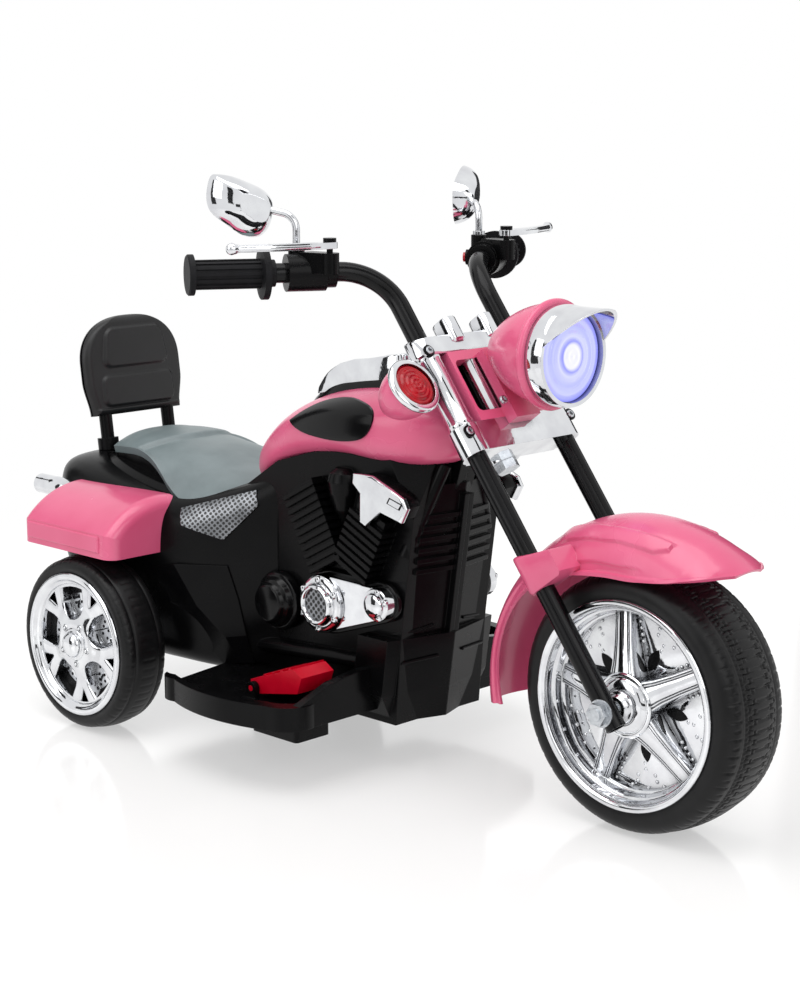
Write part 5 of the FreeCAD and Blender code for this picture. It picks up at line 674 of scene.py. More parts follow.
def rearCapSheets(look):
    # Five broad spokes that fork at the rim. Between them are U windows whose half width goes as
    # sqrt(1 - ((b - r) / bend)^2) near the hub and is straight beyond, and in each fork a small triangle
    window, fork = look["window"], look["fork"]
    hubEnd, hubCount = look["hubRows"]
    straightFrom, straightCount = look["straightRows"]
    r = np.concatenate([np.linspace(look["hub"], hubEnd, hubCount),
                        window["inner"] + np.array(window["bendRows"]),
                        np.linspace(straightFrom, window["outer"], straightCount),
                        [window["outer"], fork["outer"], fork["outer"], look["rim"]]])
    rank = np.arange(len(r))  # the rows at both outer edges come twice, open and then closed
    windowOpen = ((r >= window["inner"]) & (rank <= len(r) - 5)).astype(float)[:, None]
    forkOpen = ((r > fork["apex"]) & (rank <= len(r) - 3)).astype(float)[:, None]
    bend = np.clip((window["inner"] + window["bend"] - r) / window["bend"], 0, 1)
    windowHalf = window["half"] * np.sqrt(1 - bend ** 2) * (r >= window["inner"])
    forkHalfWidth = fork["half"] * np.clip((r - fork["apex"]) / (fork["outer"] - fork["apex"]), 0, 1)
    gap = np.pi / look["spokes"]
    windowEdge = (gap - np.arcsin(windowHalf / r))[:, None]
    forkEdge = np.arcsin(forkHalfWidth / r)[:, None]
    hubTop, rimTop = look["top"]
    top = (hubTop + (rimTop - hubTop) * ease(r, *look["topFall"]))[:, None]
    share, sink = np.array(look["armEdges"]).T
    arm = top - sink * np.where(share < 0.5, forkOpen, windowOpen)
    forkFloor = top - (top - fork["floor"]) * forkOpen
    windowFloor = top - (top - window["floor"]) * windowOpen
    floorShares = np.array(look["floorShares"])
    turns = np.concatenate([0 * forkEdge, forkEdge, forkEdge + (windowEdge - forkEdge) * share,
                            windowEdge + (gap - windowEdge) * floorShares], 1)
    heights = np.concatenate([forkFloor, forkFloor, arm, windowFloor + 0 * floorShares], 1)
    bolts = look["bolts"]
    places = ringAt(bolts["ring"], fullTurn(bolts["count"]), bolts["height"])
    return [wheelFace(r, turns, heights, look["back"], look["spokes"]),
            turnedForm(look["ring"], look["steps"], origin, upAxes, True),
            turnedForm(look["boss"], look["steps"], origin, upAxes),
            *(turnedForm(bolts["profile"], bolts["steps"], place, upAxes) for place in places)]


def discHoles(look):
    # Painted shade: dark discs for the holes of the pressed disc in each window, and a dark ring for the gap
    # beyond the disc's edge
    holes, discEdge, floor = look["holes"], look["discEdge"], look["window"]["floor"]
    places = np.concatenate([ringAt(radius, eachGap(np.radians(spread), look["spokes"]), floor)
                             for radius, spread in holes["rings"]])
    sheets = [turnedForm(holes["profile"], holes["steps"], place, upAxes) for place in places]
    return sheets + [turnedForm(discEdge["profile"], discEdge["steps"], floor * zAxis, upAxes, True)]


capSheets, holeShadeSheets = rearCapSheets(rearCapLook), discHoles(rearCapLook)
for sideName, sign in sides.items():
    spot = (rearWheelAt[sideName], sign, rearCapLook["clock"])
    makePiece("rearWheelCap" + sideName.title(), onWheel(capSheets, *spot), "rear_wheel_" + sideName,
              "chrome_trim", "rear_hubcap_" + sideName, sharp=32)
    makePiece("rearCapHoles" + sideName.title(), onWheel(holeShadeSheets, *spot), "rear_wheel_" + sideName,
              "black_plastic")
print("wheel caps")

# The fender's rows go by the turn round the front axle, in degrees; lines give (turn, way from the crown)
fenderLook = {
    "turns": (52, 56, 65, 80, 100, 120, 142, 166, 191), "half": 52.0, "radius": 172.0, "wall": 3.0,
    "grid": (171, 141),
    "width": (0.38, 0.78, 0.97, 1, 1, 1, 1, 0.97, 0.88),
    "edge": (0.992, 0.93, 0.81, 0.715, 0.705, 0.755, 0.84, 0.865, 0.86),
    "crown": (1.014, 1.01, 1.004, 1, 1, 1.004, 1.018, 1.045, 1.08),
    "leaf": {"top": ((66, 33), (73.3, 33.2), (85.4, 33.5), (92.4, 32.6), (100.1, 30.4), (108.4, 24.1),
                     (128, 8)),
             "low": ((66, 30), (73.3, 34.3), (73.9, 41.9), (78.1, 49), (85.4, 49), (100.4, 46.8),
                     (122, 35.5)),
             "ends": (72.6, 74.2, 117.0, 126.0), "soft": (1.4, 1.2), "rise": 3.0},
    "fold": {"line": ((70, 60), (79.9, 67.6), (90, 69.6), (94.2, 69.5), (102.9, 66.6), (111.6, 63.8),
                      (126, 54)),
             "ends": (78.0, 88.0, 121.0, 128.0), "soft": 1.3, "drop": 2.8},
    "tailFold": {"width": 13.0, "soft": 1.5, "drop": 2.2, "ends": (134.0, 152.0)},
    "lip": {"width": 5.0, "soft": 1.2, "rise": 1.5},
    "bracket": {"rear": 14.5, "front": 37.0, "out": 78.0, "in": 45.0, "low": 126.0, "top": 164.0,
                "slope": 0.28, "topAt": -6.0, "soft": 2.5, "arc": 13, "toe": 4}}


def fenderSheets(look):
    # Round section at each turn: radius (h^2 + g^2) / 2g from half width h and drop g. The skin is lifted
    # along the section's normal by the leaf, dropped below the fold and at the tail's fold, and rolled out
    # at its edge
    rows, cols = look["grid"]
    a = np.linspace(look["turns"][0], look["turns"][-1], rows)[:, None]
    width, edge, crown = (throughPoints(a, list(zip(look["turns"], look[key])))
                          for key in ("width", "edge", "crown"))
    half, crown = look["half"] * width, look["radius"] * crown
    drop = crown - look["radius"] * edge
    bend = (half ** 2 + drop ** 2) / (2 * drop)
    phi = np.arctan2(half, bend - drop) * np.linspace(-1, 1, cols)[None, :]
    s = np.abs(bend * phi)
    fromEdge = s - s[:, -1:]

    def past(line, soft):
        # 0 above a line of the skin, 1 below it
        return ease(s - np.interp(a, *zip(*line)), -soft, soft)

    leaf, fold, tail, lip = (look[key] for key in ("leaf", "fold", "tailFold", "lip"))
    softTop, softLow = leaf["soft"]
    folded = fold["drop"] * between(a, *fold["ends"])
    onLeaf = past(leaf["top"], softTop) * (1 - past(leaf["low"], softLow)) * between(a, *leaf["ends"])
    onTail = ease(fromEdge + tail["width"], -tail["soft"], tail["soft"]) * ease(a, *tail["ends"])
    lift = leaf["rise"] * onLeaf - folded * past(fold["line"], fold["soft"]) - tail["drop"] * onTail
    lift = lift + (lip["rise"] + folded) * ease(fromEdge + lip["width"], 0, lip["soft"])
    turn = np.radians(a)
    grids = []
    for extra in (lift, np.full_like(lift, -look["wall"])):
        far = crown - bend + (bend + extra) * np.cos(phi)
        grid = np.stack([far * np.cos(turn), (bend + extra) * np.sin(phi), far * np.sin(turn)], -1)
        grids.append(grid + np.asarray(frontWheelAt))
    sheets = [skinOf(*grids)]
    hold = look["bracket"]
    halfTurn = np.linspace(np.pi / 2, 3 * np.pi / 2, hold["arc"])
    heel = circleAt(hold["rear"], halfTurn) * [1, -1] - [0, forkHalf]
    toe = hold["front"] * np.linspace(0, 1, hold["toe"] + 1)[1:]
    outline = np.concatenate([heel, np.column_stack([toe, np.full_like(toe, -hold["in"])]),
                              np.column_stack([toe[::-1], np.full_like(toe, -hold["out"])])])
    top = hold["top"] - hold["slope"] * (outline[:, 0] - hold["topAt"])
    for sign in sides.values():
        sheets.append(prismForm(outline * [1, -sign], hold["low"], top, hold["soft"], frontWheelAt, forkAxes))
    return sheets


makePiece("frontFenderSkin", fenderSheets(fenderLook), "steering", "pink_plastic", "front_fender", sharp=48)
print("fender with its creases")


def crownedGrid(look):
    # Height over the edge falls as 1 - |v|^p across each section, so the form is flat on top and rounds to
    # its edge; half width, edge and top are curves along x
    rows, cols = look["grid"]
    v = acrossShares(cols)
    x = np.linspace(*look["ends"], rows)[:, None] + 0 * v
    half, edge, top = (throughPoints(x, look[key]) for key in ("half", "edge", "top"))
    return v, x, half * v, edge + (top - edge) * (1 - np.abs(v) ** look["sides"]), edge


saddleLook = {
    "grid": (150, 121), "ends": (-396.0, -146.0), "sides": 2.6,
    "half": ((-396, 50), (-385, 61), (-360, 68), (-323, 72), (-300, 76), (-280, 81), (-263, 86), (-235, 91),
             (-208, 92), (-185, 85), (-168, 70), (-146, 40)),
    "edge": ((-396, 281), (-385, 284), (-360, 287), (-323, 287), (-300, 281), (-280, 271), (-263, 261),
             (-235, 247), (-208, 241), (-185, 245), (-168, 252), (-146, 262)),
    "top": ((-396, 290), (-385, 297.5), (-360, 301), (-323, 301.6), (-263, 295.6), (-208, 278.4), (-168, 271),
            (-146, 267.4)),
    "seam": {"at": -305.0, "bow": 31.0, "half": 78.0, "width": 3.0, "deep": 3.2, "fade": (0.9, 1.0)},
    "step": {"drop": 4.0, "ends": (-2.0, 4.0, 20.0, 80.0)},
    "inner": {"share": 0.97, "wall": 8.0}, "base": {"share": 0.96, "drops": (3.0, 26.0)}}


def saddleSheets(look):
    # The crowned pad with a bowed seam pressed in, exp(-((x - seam) / width)^2), and a step down ahead of
    # it, over a flat base
    v, x, y, z, edge = crownedGrid(look)
    seam, step, inner, base = (look[key] for key in ("seam", "step", "inner", "base"))
    ahead = x - (seam["at"] - seam["bow"] * (y / seam["half"]) ** 2)
    inward = 1 - ease(np.abs(v), *seam["fade"])
    z = z - seam["deep"] * np.exp(-(ahead / seam["width"]) ** 2) * inward
    z = z - step["drop"] * between(ahead, *step["ends"]) * inward
    pad = np.stack([x, y, z], -1), np.stack([x, y * inner["share"], z - inner["wall"]], -1)
    plates = [np.stack([x, y * base["share"], edge - drop], -1) for drop in base["drops"]]
    return [skinOf(*pad)], [skinOf(*plates)]


padSheets, baseSheets = saddleSheets(saddleLook)
makePiece("saddlePad", padSheets, "chassis", "seat_grey", "seat", sharp=50)
makePiece("saddleBase", baseSheets, "chassis", "black_plastic", sharp=50)

backrestLook = {"foot": (-420.0, 0.0, 313.0), "lean": math.radians(8.0), "half": 70.0, "height": 112.0,
                "spring": 58.0, "power": 2.3, "waist": (0.9, 40.0), "depth": (10.0, 10.0), "edge": 9.0,
                "footRim": 2.0, "dish": 2.5, "tip": 1e-6, "grid": (111, 121),
                "panels": ((10.0, 44.0, 50.0, 8.0), (54.0, 98.0, 46.0, 10.0)),  # low, high, half, corner
                "panelRise": 3.4, "panelSoft": 1.6, "panelTaper": 0.25,
                "flange": {"height": 7.0, "soft": 1.0, "rise": 2.0}}


def backrestSheets(look):
    # An arch: full half width up to the spring line, then half (1 - t^p)^(1/p). Both faces round off by the
    # edge and the front carries two raised panels with rounded corners
    rows, cols = look["grid"]
    up = look["height"] * (1 - np.cos(np.linspace(0, np.pi, rows)))[:, None] / 2
    t = np.clip((up - look["spring"]) / (look["height"] - look["spring"]), 0, 1)
    waist, waistHigh = look["waist"]
    arch = np.maximum(1 - t ** look["power"], look["tip"]) ** (1 / look["power"])
    half = look["half"] * (waist + (1 - waist) * ease(up, 0, waistHigh)) * arch
    v = acrossShares(cols)
    y = half * v
    rim = np.minimum(np.minimum(half - np.abs(y), look["height"] - up), up + look["footRim"])
    share = np.clip(rim / look["edge"], 0, 1)
    swell = np.sqrt(np.maximum(1 - (1 - share) ** 2, 0))
    frontDepth, backDepth = look["depth"]
    front = frontDepth * swell - look["dish"] * (np.abs(y) / look["half"]) ** 2
    for low, high, wide, corner in look["panels"]:
        aside = np.maximum(np.abs(y) - (wide - corner) * (1 - look["panelTaper"] * t), 0)
        above = np.maximum(np.abs(up - (low + high) / 2) - ((high - low) / 2 - corner), 0)
        past = ease(np.hypot(aside, above), corner - look["panelSoft"], corner + look["panelSoft"])
        front = front + look["panelRise"] * (1 - past)
    flange = look["flange"]
    above = ease(up, flange["height"] - flange["soft"], flange["height"] + flange["soft"])
    front = front + flange["rise"] * (1 - above) * share
    grids = [placed(np.stack([depth, y, up + 0 * v], -1), look["foot"], leanedAxes(look["lean"]))
             for depth in (front, -backDepth * swell)]
    return [skinOf(*grids)]


makePiece("backrestCushion", backrestSheets(backrestLook), "chassis", "black_plastic", "backrest_pad",
          "blackSatinPolyethylene", sharp=50)
print("saddle and backrest")

lampLook = {"place": (233.0, 0.0, 433.0), "radius": 42.9, "back": -10.0, "top": -6.0, "bulge": 5.0,
            "rings": 6, "ripple": 0.5, "steps": 96}
signalLook = {"place": (4.0, 106.0, 347.0), "radius": 22.1, "back": 0.0, "top": 3.0, "bulge": 5.4,
              "rings": 4.5, "ripple": 0.55, "steps": 64}
lensRows = {"count": 61, "plainRim": 0.99}


def lensForm(look, place, axes):
    # Dome top + bulge (1 - r^2) with ring ripples on it, over a flat back, turned about the lamp's axis
    r = np.linspace(1, 0, lensRows["count"])
    ripple = look["ripple"] * np.cos(2 * np.pi * look["rings"] * r) * (r < lensRows["plainRim"])
    dome = np.stack([look["radius"] * r, look["top"] + look["bulge"] * (1 - r * r) + ripple], -1)
    profile = np.concatenate([[(0, look["back"]), (look["radius"], look["back"])], dome])
    return turnedForm(profile, look["steps"], place, axes)


makePiece("headlightLensRings", [lensForm(lampLook, lampLook["place"], aheadAxes)], "steering", "lens_clear",
          "headlight_lens", "litPolycarbonate", sharp=60)
ahead, aside, up = signalLook["place"]
makePiece("signalLensRings",
          [lensForm(signalLook, onFork(ahead, sign * aside, up), forkAheadAxes) for sign in sides.values()],
          "steering", "lens_red", "turn_signal_lenses", sharp=60)

screwLook = {"head": ((0, -1.5), (4.2, -1.5), (4.2, 1.0), (3.7, 1.7), (2.2, 1.8), (1.9, 0.5), (0, 0.5)),
             "recess": ((0, -1.5), (6.2, -1.5), (6.2, 0.35), (5.6, 0.5), (0, 0.5)),
             "headSteps": 16, "recessSteps": 20,
             "clampSpots": ((14.0, 72.0, 378.0), (14.0, 73.3, 289.4)), "postSpots": ((27.2, 23.8, 309.8),)}
clampSpots, postSpots = ([onFork(ahead, sign * aside, up) for ahead, aside, up in screwLook[key]
                          for sign in sides.values()] for key in ("clampSpots", "postSpots"))
makePiece("clampScrews", [turnedForm(screwLook["head"], screwLook["headSteps"], spot, forkAheadAxes)
                          for spot in clampSpots + postSpots], "steering", "zinc_steel")
# The black discs round the clamp screws are painted shade in their recesses
makePiece("clampScrewRecessShade", [turnedForm(screwLook["recess"], screwLook["recessSteps"], spot, forkAheadAxes)
                              for spot in clampSpots], "steering", "black_plastic")

topClampLook = {"low": 374.0, "front": (14.0, 393.0), "slope": 0.268, "soft": 3.0,
                "end": {"radius": 15.0, "turns": (22, 160), "steps": 15},
                "straight": {"short": 8.0, "steps": 5},
                "rear": ((-17, 54), (-18, 40), (-18, 24), (-24, 15.5), (-34, 14), (-41, 7.5), (-43, 0)),
                "sleeve": ((9.8, 298.2), (12.6, 298.2), (12.9, 300), (12.9, 304), (12.3, 305), (12.3, 370),
                           (12.9, 371), (12.9, 375), (9.8, 375)), "sleeveSteps": 48,
                "riser": {"middle": (6.5, 26.0), "half": (12.5, 9.5), "power": 0.7, "steps": 40, "soft": 2.5,
                          "foot": 384.0, "top": 411.0}}


def topClampSheets(look):
    # Half outline from the front round the fork's end to the stem boss, mirrored and raised to a top that
    # climbs to the rear; two sleeves turned round the legs; two risers on soft ovals
    ahead, top = look["front"]
    end, straight, riser = look["end"], look["straight"], look["riser"]
    front = np.linspace((ahead, 0), (ahead, forkHalf - straight["short"]), straight["steps"])
    roundEnd = circleAt(end["radius"], np.radians(np.linspace(*end["turns"], end["steps"]))) + [0, forkHalf]
    half = np.concatenate([front, roundEnd, np.array(look["rear"], float)])
    outline = np.concatenate([half, half[-2:0:-1] * [1, -1]])
    top = top + look["slope"] * (ahead - outline[:, 0])
    sheets = [prismForm(outline, look["low"], top, look["soft"], frontWheelAt, forkAxes)]
    oval = softOval(riser["half"], riser["power"], riser["steps"])
    for sign in sides.values():
        sheets.append(prismForm(oval + np.array(riser["middle"]) * [1, sign], riser["foot"], riser["top"],
                                riser["soft"], frontWheelAt, forkAxes))
        sheets.append(turnedForm(look["sleeve"], look["sleeveSteps"], onFork(0, sign * forkHalf, 0),
                                 forkAxes, True))
    return sheets


makePiece("topClamp", topClampSheets(topClampLook), "steering", "chrome_trim", "upper_clamp", sharp=32)

columnLook = {"behind": 27.0, "radius": 17.4, "wall": 1.4, "low": 300.0, "high": 372.0,
              "reach": math.radians(95), "grid": (9, 41)}


def columnSheets(look):
    # Half round shield before the steering stem: two arcs a wall apart, raised along the fork
    rows, cols = look["grid"]
    turn = np.linspace(-look["reach"], look["reach"], cols)[None, :]
    up = np.linspace(look["low"], look["high"], rows)[:, None]
    grids = []
    for radius in (look["radius"], look["radius"] - look["wall"]):
        ahead, aside = radius * np.cos(turn) - look["behind"], radius * np.sin(turn)
        local = [ahead + 0 * up, aside + 0 * up, up + 0 * turn]
        grids.append(placed(np.stack(local, -1), frontWheelAt, forkAxes))
    return [skinOf(*grids)]


makePiece("headColumnShield", columnSheets(columnLook), "steering", "chrome_trim", sharp=50)

leverLook = {"pivot": (36.9, 125.8, 530.2), "sweep": math.radians(106), "mid": 3.0, "steps": 20,
             "along": (12, 13, 16, 26, 40, 55, 70, 84, 93, 96, 98.5, 102, 105.5, 107.3),
             "bow": (2.2, 2.3, 2.8, 3.8, 4.6, 5.0, 4.6, 3.4, 2.0, 1.2, 0.6, 0, -0.6, -0.8),
             "wide": (0, 6.4, 7.6, 7.4, 6.9, 6.3, 5.6, 4.9, 4.4, 4.4, 5.2, 5.9, 4.4, 0),
             "high": (0, 2.4, 3.5, 3.7, 3.7, 3.7, 3.6, 3.6, 3.5, 3.7, 4.8, 5.7, 4.4, 0)}


def leverBlade(look, sign):
    # A flat oval swept out from the pivot to a ball end
    c, s = math.cos(look["sweep"]), math.sin(look["sweep"])
    axes = (np.array([c, sign * s, 0]), np.array([s, -sign * c, 0]), zAxis)
    local = np.stack([look["along"], look["bow"], np.full(len(look["along"]), look["mid"])], -1)
    path = placed(local, np.array(look["pivot"]) * [1, sign, 1], axes)
    return sweptForm(path, look["wide"], look["high"], zAxis, look["steps"])


for sideName, sign in sides.items():
    makePiece("leverBlade" + sideName.title(), [leverBlade(leverLook, sign)], "brake_lever_" + sideName,
              "chrome_trim")
print("lamps, screws and levers")

engineLook = {
    "face": 62.0, "clutch": (-26.0, 166.0), "knob": (52.0, 178.0), "hornAt": (-102.0, 154.0),
    "radii": (29.4, 16.0), "arc": 30,
    "cover": {"grow": 0.0, "depth": 17.0, "soft": 2.5}, "rim": {"grow": 4.0, "depth": 7.0, "soft": 2.0},
    "disc": ((0, 4), (30, 4), (30.2, 17), (29.4, 20.5), (27.2, 22.6), (24.6, 23.4), (22.4, 23.4),
             (21.6, 24.4), (21.2, 27.0), (20.2, 28.8), (18.6, 29.6), (17.0, 29.2), (16.0, 28.0),
             (15.4, 25.6), (0, 25.6)),
    "mesh": ((0, 25.2), (15.3, 25.2), (15.3, 26.0), (0, 26.4)),
    "cap": ((0, 4), (16.6, 4), (16.6, 18.4), (15.6, 19.8), (13.4, 20.2), (12.6, 20.4), (12.2, 22.8),
            (11.2, 24.6), (8.8, 25.8), (0, 26.2)),
    "horn": ((0, 2), (31, 2), (31, 8.6), (30.2, 10.4), (28.4, 11.2), (26.6, 11.4), (25.8, 12.4), (24.8, 16.6),
             (23.4, 18.4), (21.6, 19.2), (20.8, 20.2), (20.2, 22.8), (19.0, 24.4), (17.0, 25.2), (0, 25.8)),
    "bolt": ((0, -2), (3.6, -2), (3.6, 0.6), (3.0, 1.6), (1.2, 2.2), (0, 2.3)),
    "boltRings": {"clutch": {"radius": 25.6, "turns": (90, 150, 210, 270, 330, 390), "out": 23.0},
                  "knob": {"radius": 13.6, "turns": (-70, 20, 75), "out": 19.55}},
    "steps": {"disc": 72, "cap": 48, "mesh": 40, "horn": 64, "bolt": 14}}


def bothEnds(look, grow):
    # Outline round two circles of different radius: the tangent angle is where the straight sides leave them
    (x0, z0), (x1, z1) = look["clutch"], look["knob"]
    r0, r1 = (r + grow for r in look["radii"])
    turn = math.acos((r0 - r1) / math.hypot(x1 - x0, z1 - z0))
    lean = math.atan2(z1 - z0, x1 - x0)
    first = circleAt(r0, np.linspace(turn, 2 * np.pi - turn, look["arc"]) + lean) + [x0, z0]
    second = circleAt(r1, np.linspace(-turn, turn, look["arc"]) + lean) + [x1, z1]
    return np.concatenate([first, second])


def engineSheets(look, sign):
    # One side's chrome cover with its disc, cap and bolts, then the black rim, the mesh and the horn dome
    axes, face = sideAxes[sign], sign * look["face"] * yAxis

    def turned(key, place, out=0.0):
        middle = face + np.array([place[0], sign * out, place[1]])
        return turnedForm(look[key], look["steps"][key], middle, axes)

    def plate(part):
        return prismForm(bothEnds(look, part["grow"]), 0, part["depth"], part["soft"], face, axes)

    chrome = [plate(look["cover"]), turned("disc", look["clutch"]), turned("cap", look["knob"])]
    for middle, ring in look["boltRings"].items():
        places = circleAt(ring["radius"], np.radians(ring["turns"])) + look[middle]
        chrome += [turned("bolt", place, ring["out"]) for place in places]
    return chrome, [plate(look["rim"])], [turned("mesh", look["clutch"])], [turned("horn", look["hornAt"])]


bothSides = zip(*(engineSheets(engineLook, sign) for sign in sides.values()))
chromeSheets, rimSheets, meshSheets, hornSheets = (right + left for right, left in bothSides)
makePiece("primaryCovers", chromeSheets, "chassis", "chrome_trim", "engine_covers", sharp=32)
makePiece("primaryCoverRims", rimSheets, "chassis", "black_gloss_plastic")
makePiece("clutchMesh", meshSheets, "chassis", "black_plastic", finish="perforatedSteelMesh")
makePiece("hornDomes", hornSheets, "chassis", "black_gloss_plastic", "horn_covers", sharp=32)
print("engine covers")

windowLook = {"low": 300.0, "high": 372.0, "plate": {"half": 47.0, "depth": (-4.0, -1.5), "soft": 1.0},
              "column": {"ahead": 5.0, "aside": 18.5, "radius": 9.0, "soft": 1.0, "steps": 40}}
low, high = windowLook["low"], windowLook["high"]
half, soft = windowLook["plate"]["half"], windowLook["plate"]["soft"]
makePiece("headWindowBack", [prismForm([(-half, low), (half, low), (half, high), (-half, high)],
                                       *windowLook["plate"]["depth"], soft, frontWheelAt, forkAheadAxes)],
          "steering", "black_plastic")
column = windowLook["column"]
radius, soft = column["radius"], column["soft"]
profile = [(0, low), (radius - soft, low), (radius, low + soft), (radius, high - soft), (radius - soft, high),
           (0, high)]
makePiece("headWindowColumns",
          [turnedForm(profile, column["steps"], onFork(column["ahead"], sign * column["aside"], 0), forkAxes)
           for sign in sides.values()], "steering", "chrome_trim")

cowlLook = {"middle": (-33.5, 0.0), "half": (63.5, 26.0), "power": 0.4, "steps": 96, "least": 3.0,
            "top": ((-100, 368), (-90, 376), (-75, 391), (-54, 404), (-10, 413), (32, 421)),
            "foot": ((-112, 364), (32, 396)),
            "wall": ((0, None), (0, -2.0), (0.6, -0.6), (2.0, 0), (3.4, -0.6), (4.0, -2.0), (4.0, None))}


def cowlSheets(look):
    # A rounded rectangle walled up from the trim to a swept top edge; each row of the wall is (inset, lift
    # over the top edge), and a row with no lift stands on the foot
    rows = []
    for inset, lift in look["wall"]:
        flat = softOval(np.array(look["half"]) - inset, look["power"], look["steps"]) + look["middle"]
        foot = np.interp(flat[:, 0], *zip(*look["foot"]))
        top = np.maximum(throughPoints(flat[:, 0], look["top"]), foot + look["least"])
        rows.append(np.column_stack([flat, foot if lift is None else top + lift]))
    return [sheetOf(np.stack(rows), True, True)]


makePiece("dashCowl", cowlSheets(cowlLook), "chassis", "chrome_trim")

spineLook = {"grid": (90, 61), "ends": (-116.0, 31.0), "sides": 7.0, "wall": 2.0,
             "half": ((-116, 4), (-112, 11), (-104, 19), (-92, 24.5), (-75, 28), (-30, 29.5), (31, 29.5)),
             "edge": ((-116, 343), (-110, 347.7), (-95, 356), (-80, 362.6), (-60, 369.5), (-40, 374.7),
                      (-20, 378.4), (0, 380.9), (31, 382.6)),
             "top": ((-116, 350), (-112, 354), (-104, 361), (-90, 371), (-71, 384), (-54, 390), (-20, 395.5),
                     (19, 400), (31, 401)),
             "well": {"depth": 14.0, "half": (20.0, 23.0), "start": (-76.0, -70.0)}}


def spineSheets(look):
    # A crowned strip along the tank; a well under the dash leaves room for its switches
    v, x, y, z, edge = crownedGrid(look)
    well = look["well"]
    z = z - well["depth"] * (1 - ease(np.abs(y), *well["half"])) * ease(x, *well["start"])
    return [skinOf(np.stack([x, y, z], -1), np.stack([x, y, edge - look["wall"]], -1))]


makePiece("tankSpine", spineSheets(spineLook), "chassis", "black_gloss_plastic", "tank_top_trim", sharp=50)

tailPlugLook = {"middle": (-176.0, 0.0, 283.2), "half": (19.5, 6.2), "power": 0.8, "steps": 60,
                "depth": (-6.0, 0.8), "soft": 0.6}
tailOval = softOval(tailPlugLook["half"], tailPlugLook["power"], tailPlugLook["steps"])
makePiece("tankTailPlug", [prismForm(tailOval, *tailPlugLook["depth"], tailPlugLook["soft"],
                                     tailPlugLook["middle"], behindAxes)], "chassis", "pink_plastic")

shieldLook = {"face": 62.0, "foot": {"share": 0.9, "depth": (0.0, 19.0), "soft": 1.0},
              "plate": {"depth": (17.0, 24.6), "soft": 2.4}, "slotRim": {"depth": (23.6, 24.9), "soft": 0.2},
              "slotPad": {"share": 0.8, "depth": (23.6, 25.4), "soft": 0.4},
              "outline": ((25.6, 307.7), (37.4, 308.2), (52.3, 308.0), (77.6, 298.4), (94.3, 291.0),
                          (100, 281.3), (92, 266.6), (64, 273.1), (42.6, 256.0), (34.7, 258.2),
                          (35.3, 289.2), (24.6, 298.2)),
              "slot": ((72.8, 284.0), (76.6, 290.2), (94.6, 285.4), (90.6, 279.2))}
outline, slot = np.array(shieldLook["outline"]), np.array(shieldLook["slot"])
shieldSheets, footSheets = [], []
for sign in sides.values():
    for sheets, key, flat in ((shieldSheets, "plate", outline), (footSheets, "foot", outline),
                              (footSheets, "slotRim", slot), (shieldSheets, "slotPad", slot)):
        part = shieldLook[key]
        sheets.append(prismForm(shrunk(flat, part.get("share", 1.0)), *part["depth"], part["soft"],
                                sign * shieldLook["face"] * yAxis, sideAxes[sign]))
makePiece("cylinderShields", shieldSheets, "chassis", "chrome_trim", "cylinder_covers", sharp=32)
makePiece("cylinderShieldFeet", footSheets, "chassis", "black_plastic")

# Corners of the leg facets on the right side: x, y, z and how far each is pushed out
legLook = {"push": (0.45, -0.89, 0.0), "sink": 14.0, "corners": (
    ((-243.7, -123.1, 176.6, 0.5), (-212.5, -116.1, 184.3, 6.0), (-157.5, -91.1, 186.5, 2.0)),
    ((-224.0, -118.6, 140.0, 0.5), (-188.0, -106.4, 142.0, 6.0), (-147.0, -85.2, 150.0, 2.0)),
    ((-177.3, -95.9, 88.7, 0.5), (-159.7, -90.8, 109.2, 6.0), (-140.0, -81.0, 112.0, 2.0)),
    ((-170.0, -88.0, 76.0, 0.5), (-152.7, -77.7, 79.4, 5.0), (-138.0, -72.0, 80.0, 1.0)))}
beadLook = {"radius": 1.6, "taper": 0.03, "steps": 10,
            "runs": (((66.5, -60.5, 116.5), (78.4, -16.5, 119.6)),
                     ((58.0, -62.4, 146.0), (66.5, -60.6, 147.0), (75.2, -20.4, 151.4)))}


def legFacet(look, flip):
    # A coarse grid of corners pushed out to flat facets, with its back sunk into the body
    corners, push = np.array(look["corners"]), np.array(look["push"])
    outer = (corners[..., :3] + corners[..., 3:] * push) * flip
    return skinOf(outer, outer - look["sink"] * push * flip)


def bead(look, run, flip):
    # A thin round bead along a run, drawn to a point over a short taper at both ends
    path, taper = np.array(run), look["taper"]
    first, last = path[:1] + taper * (path[1:2] - path[:1]), path[-1:] + taper * (path[-2:-1] - path[-1:])
    path = np.concatenate([path[:1], first, path[1:-1], last, path[-1:]]) * flip
    size = np.full(len(path), look["radius"])
    size[[0, -1]] = 0
    return sweptForm(path, size, size, zAxis, look["steps"])


flips = [np.array([1, -sign, 1]) for sign in sides.values()]
makePiece("legFacets", [legFacet(legLook, flip) for flip in flips], "chassis", "black_plastic", sharp=8)
makePiece("noseBeads", [bead(beadLook, run, flip) for flip in flips for run in beadLook["runs"]], "chassis",
          "black_plastic")
print("head windows, dash cowl and body facets")


def addCard(name, corners, mat):
    # A flat card of four corners, for the floor and the flags
    mesh = bpy.data.meshes.new(name)
    mesh.from_pydata(corners, [], [(0, 1, 2, 3)])
    mesh.materials.append(mat)
    card = addObject(name, mesh)
    return card


def aimed(place, aim):
    # The turn that points an object's -z from place at aim
    return (Vector(aim) - Vector(place)).to_track_quat("-Z", "Y")


cardCorners = ((-1, -1), (1, -1), (1, 1), (-1, 1))
stageLook = {"floorHalf": 6.0, "floor": "#c2c1c0", "lift": 0.47, "fade": (0.75, 1.35), "gloss": 0.12,
             "sheen": 0.35, "ambient": 0.64}
white = (1, 1, 1, 1)


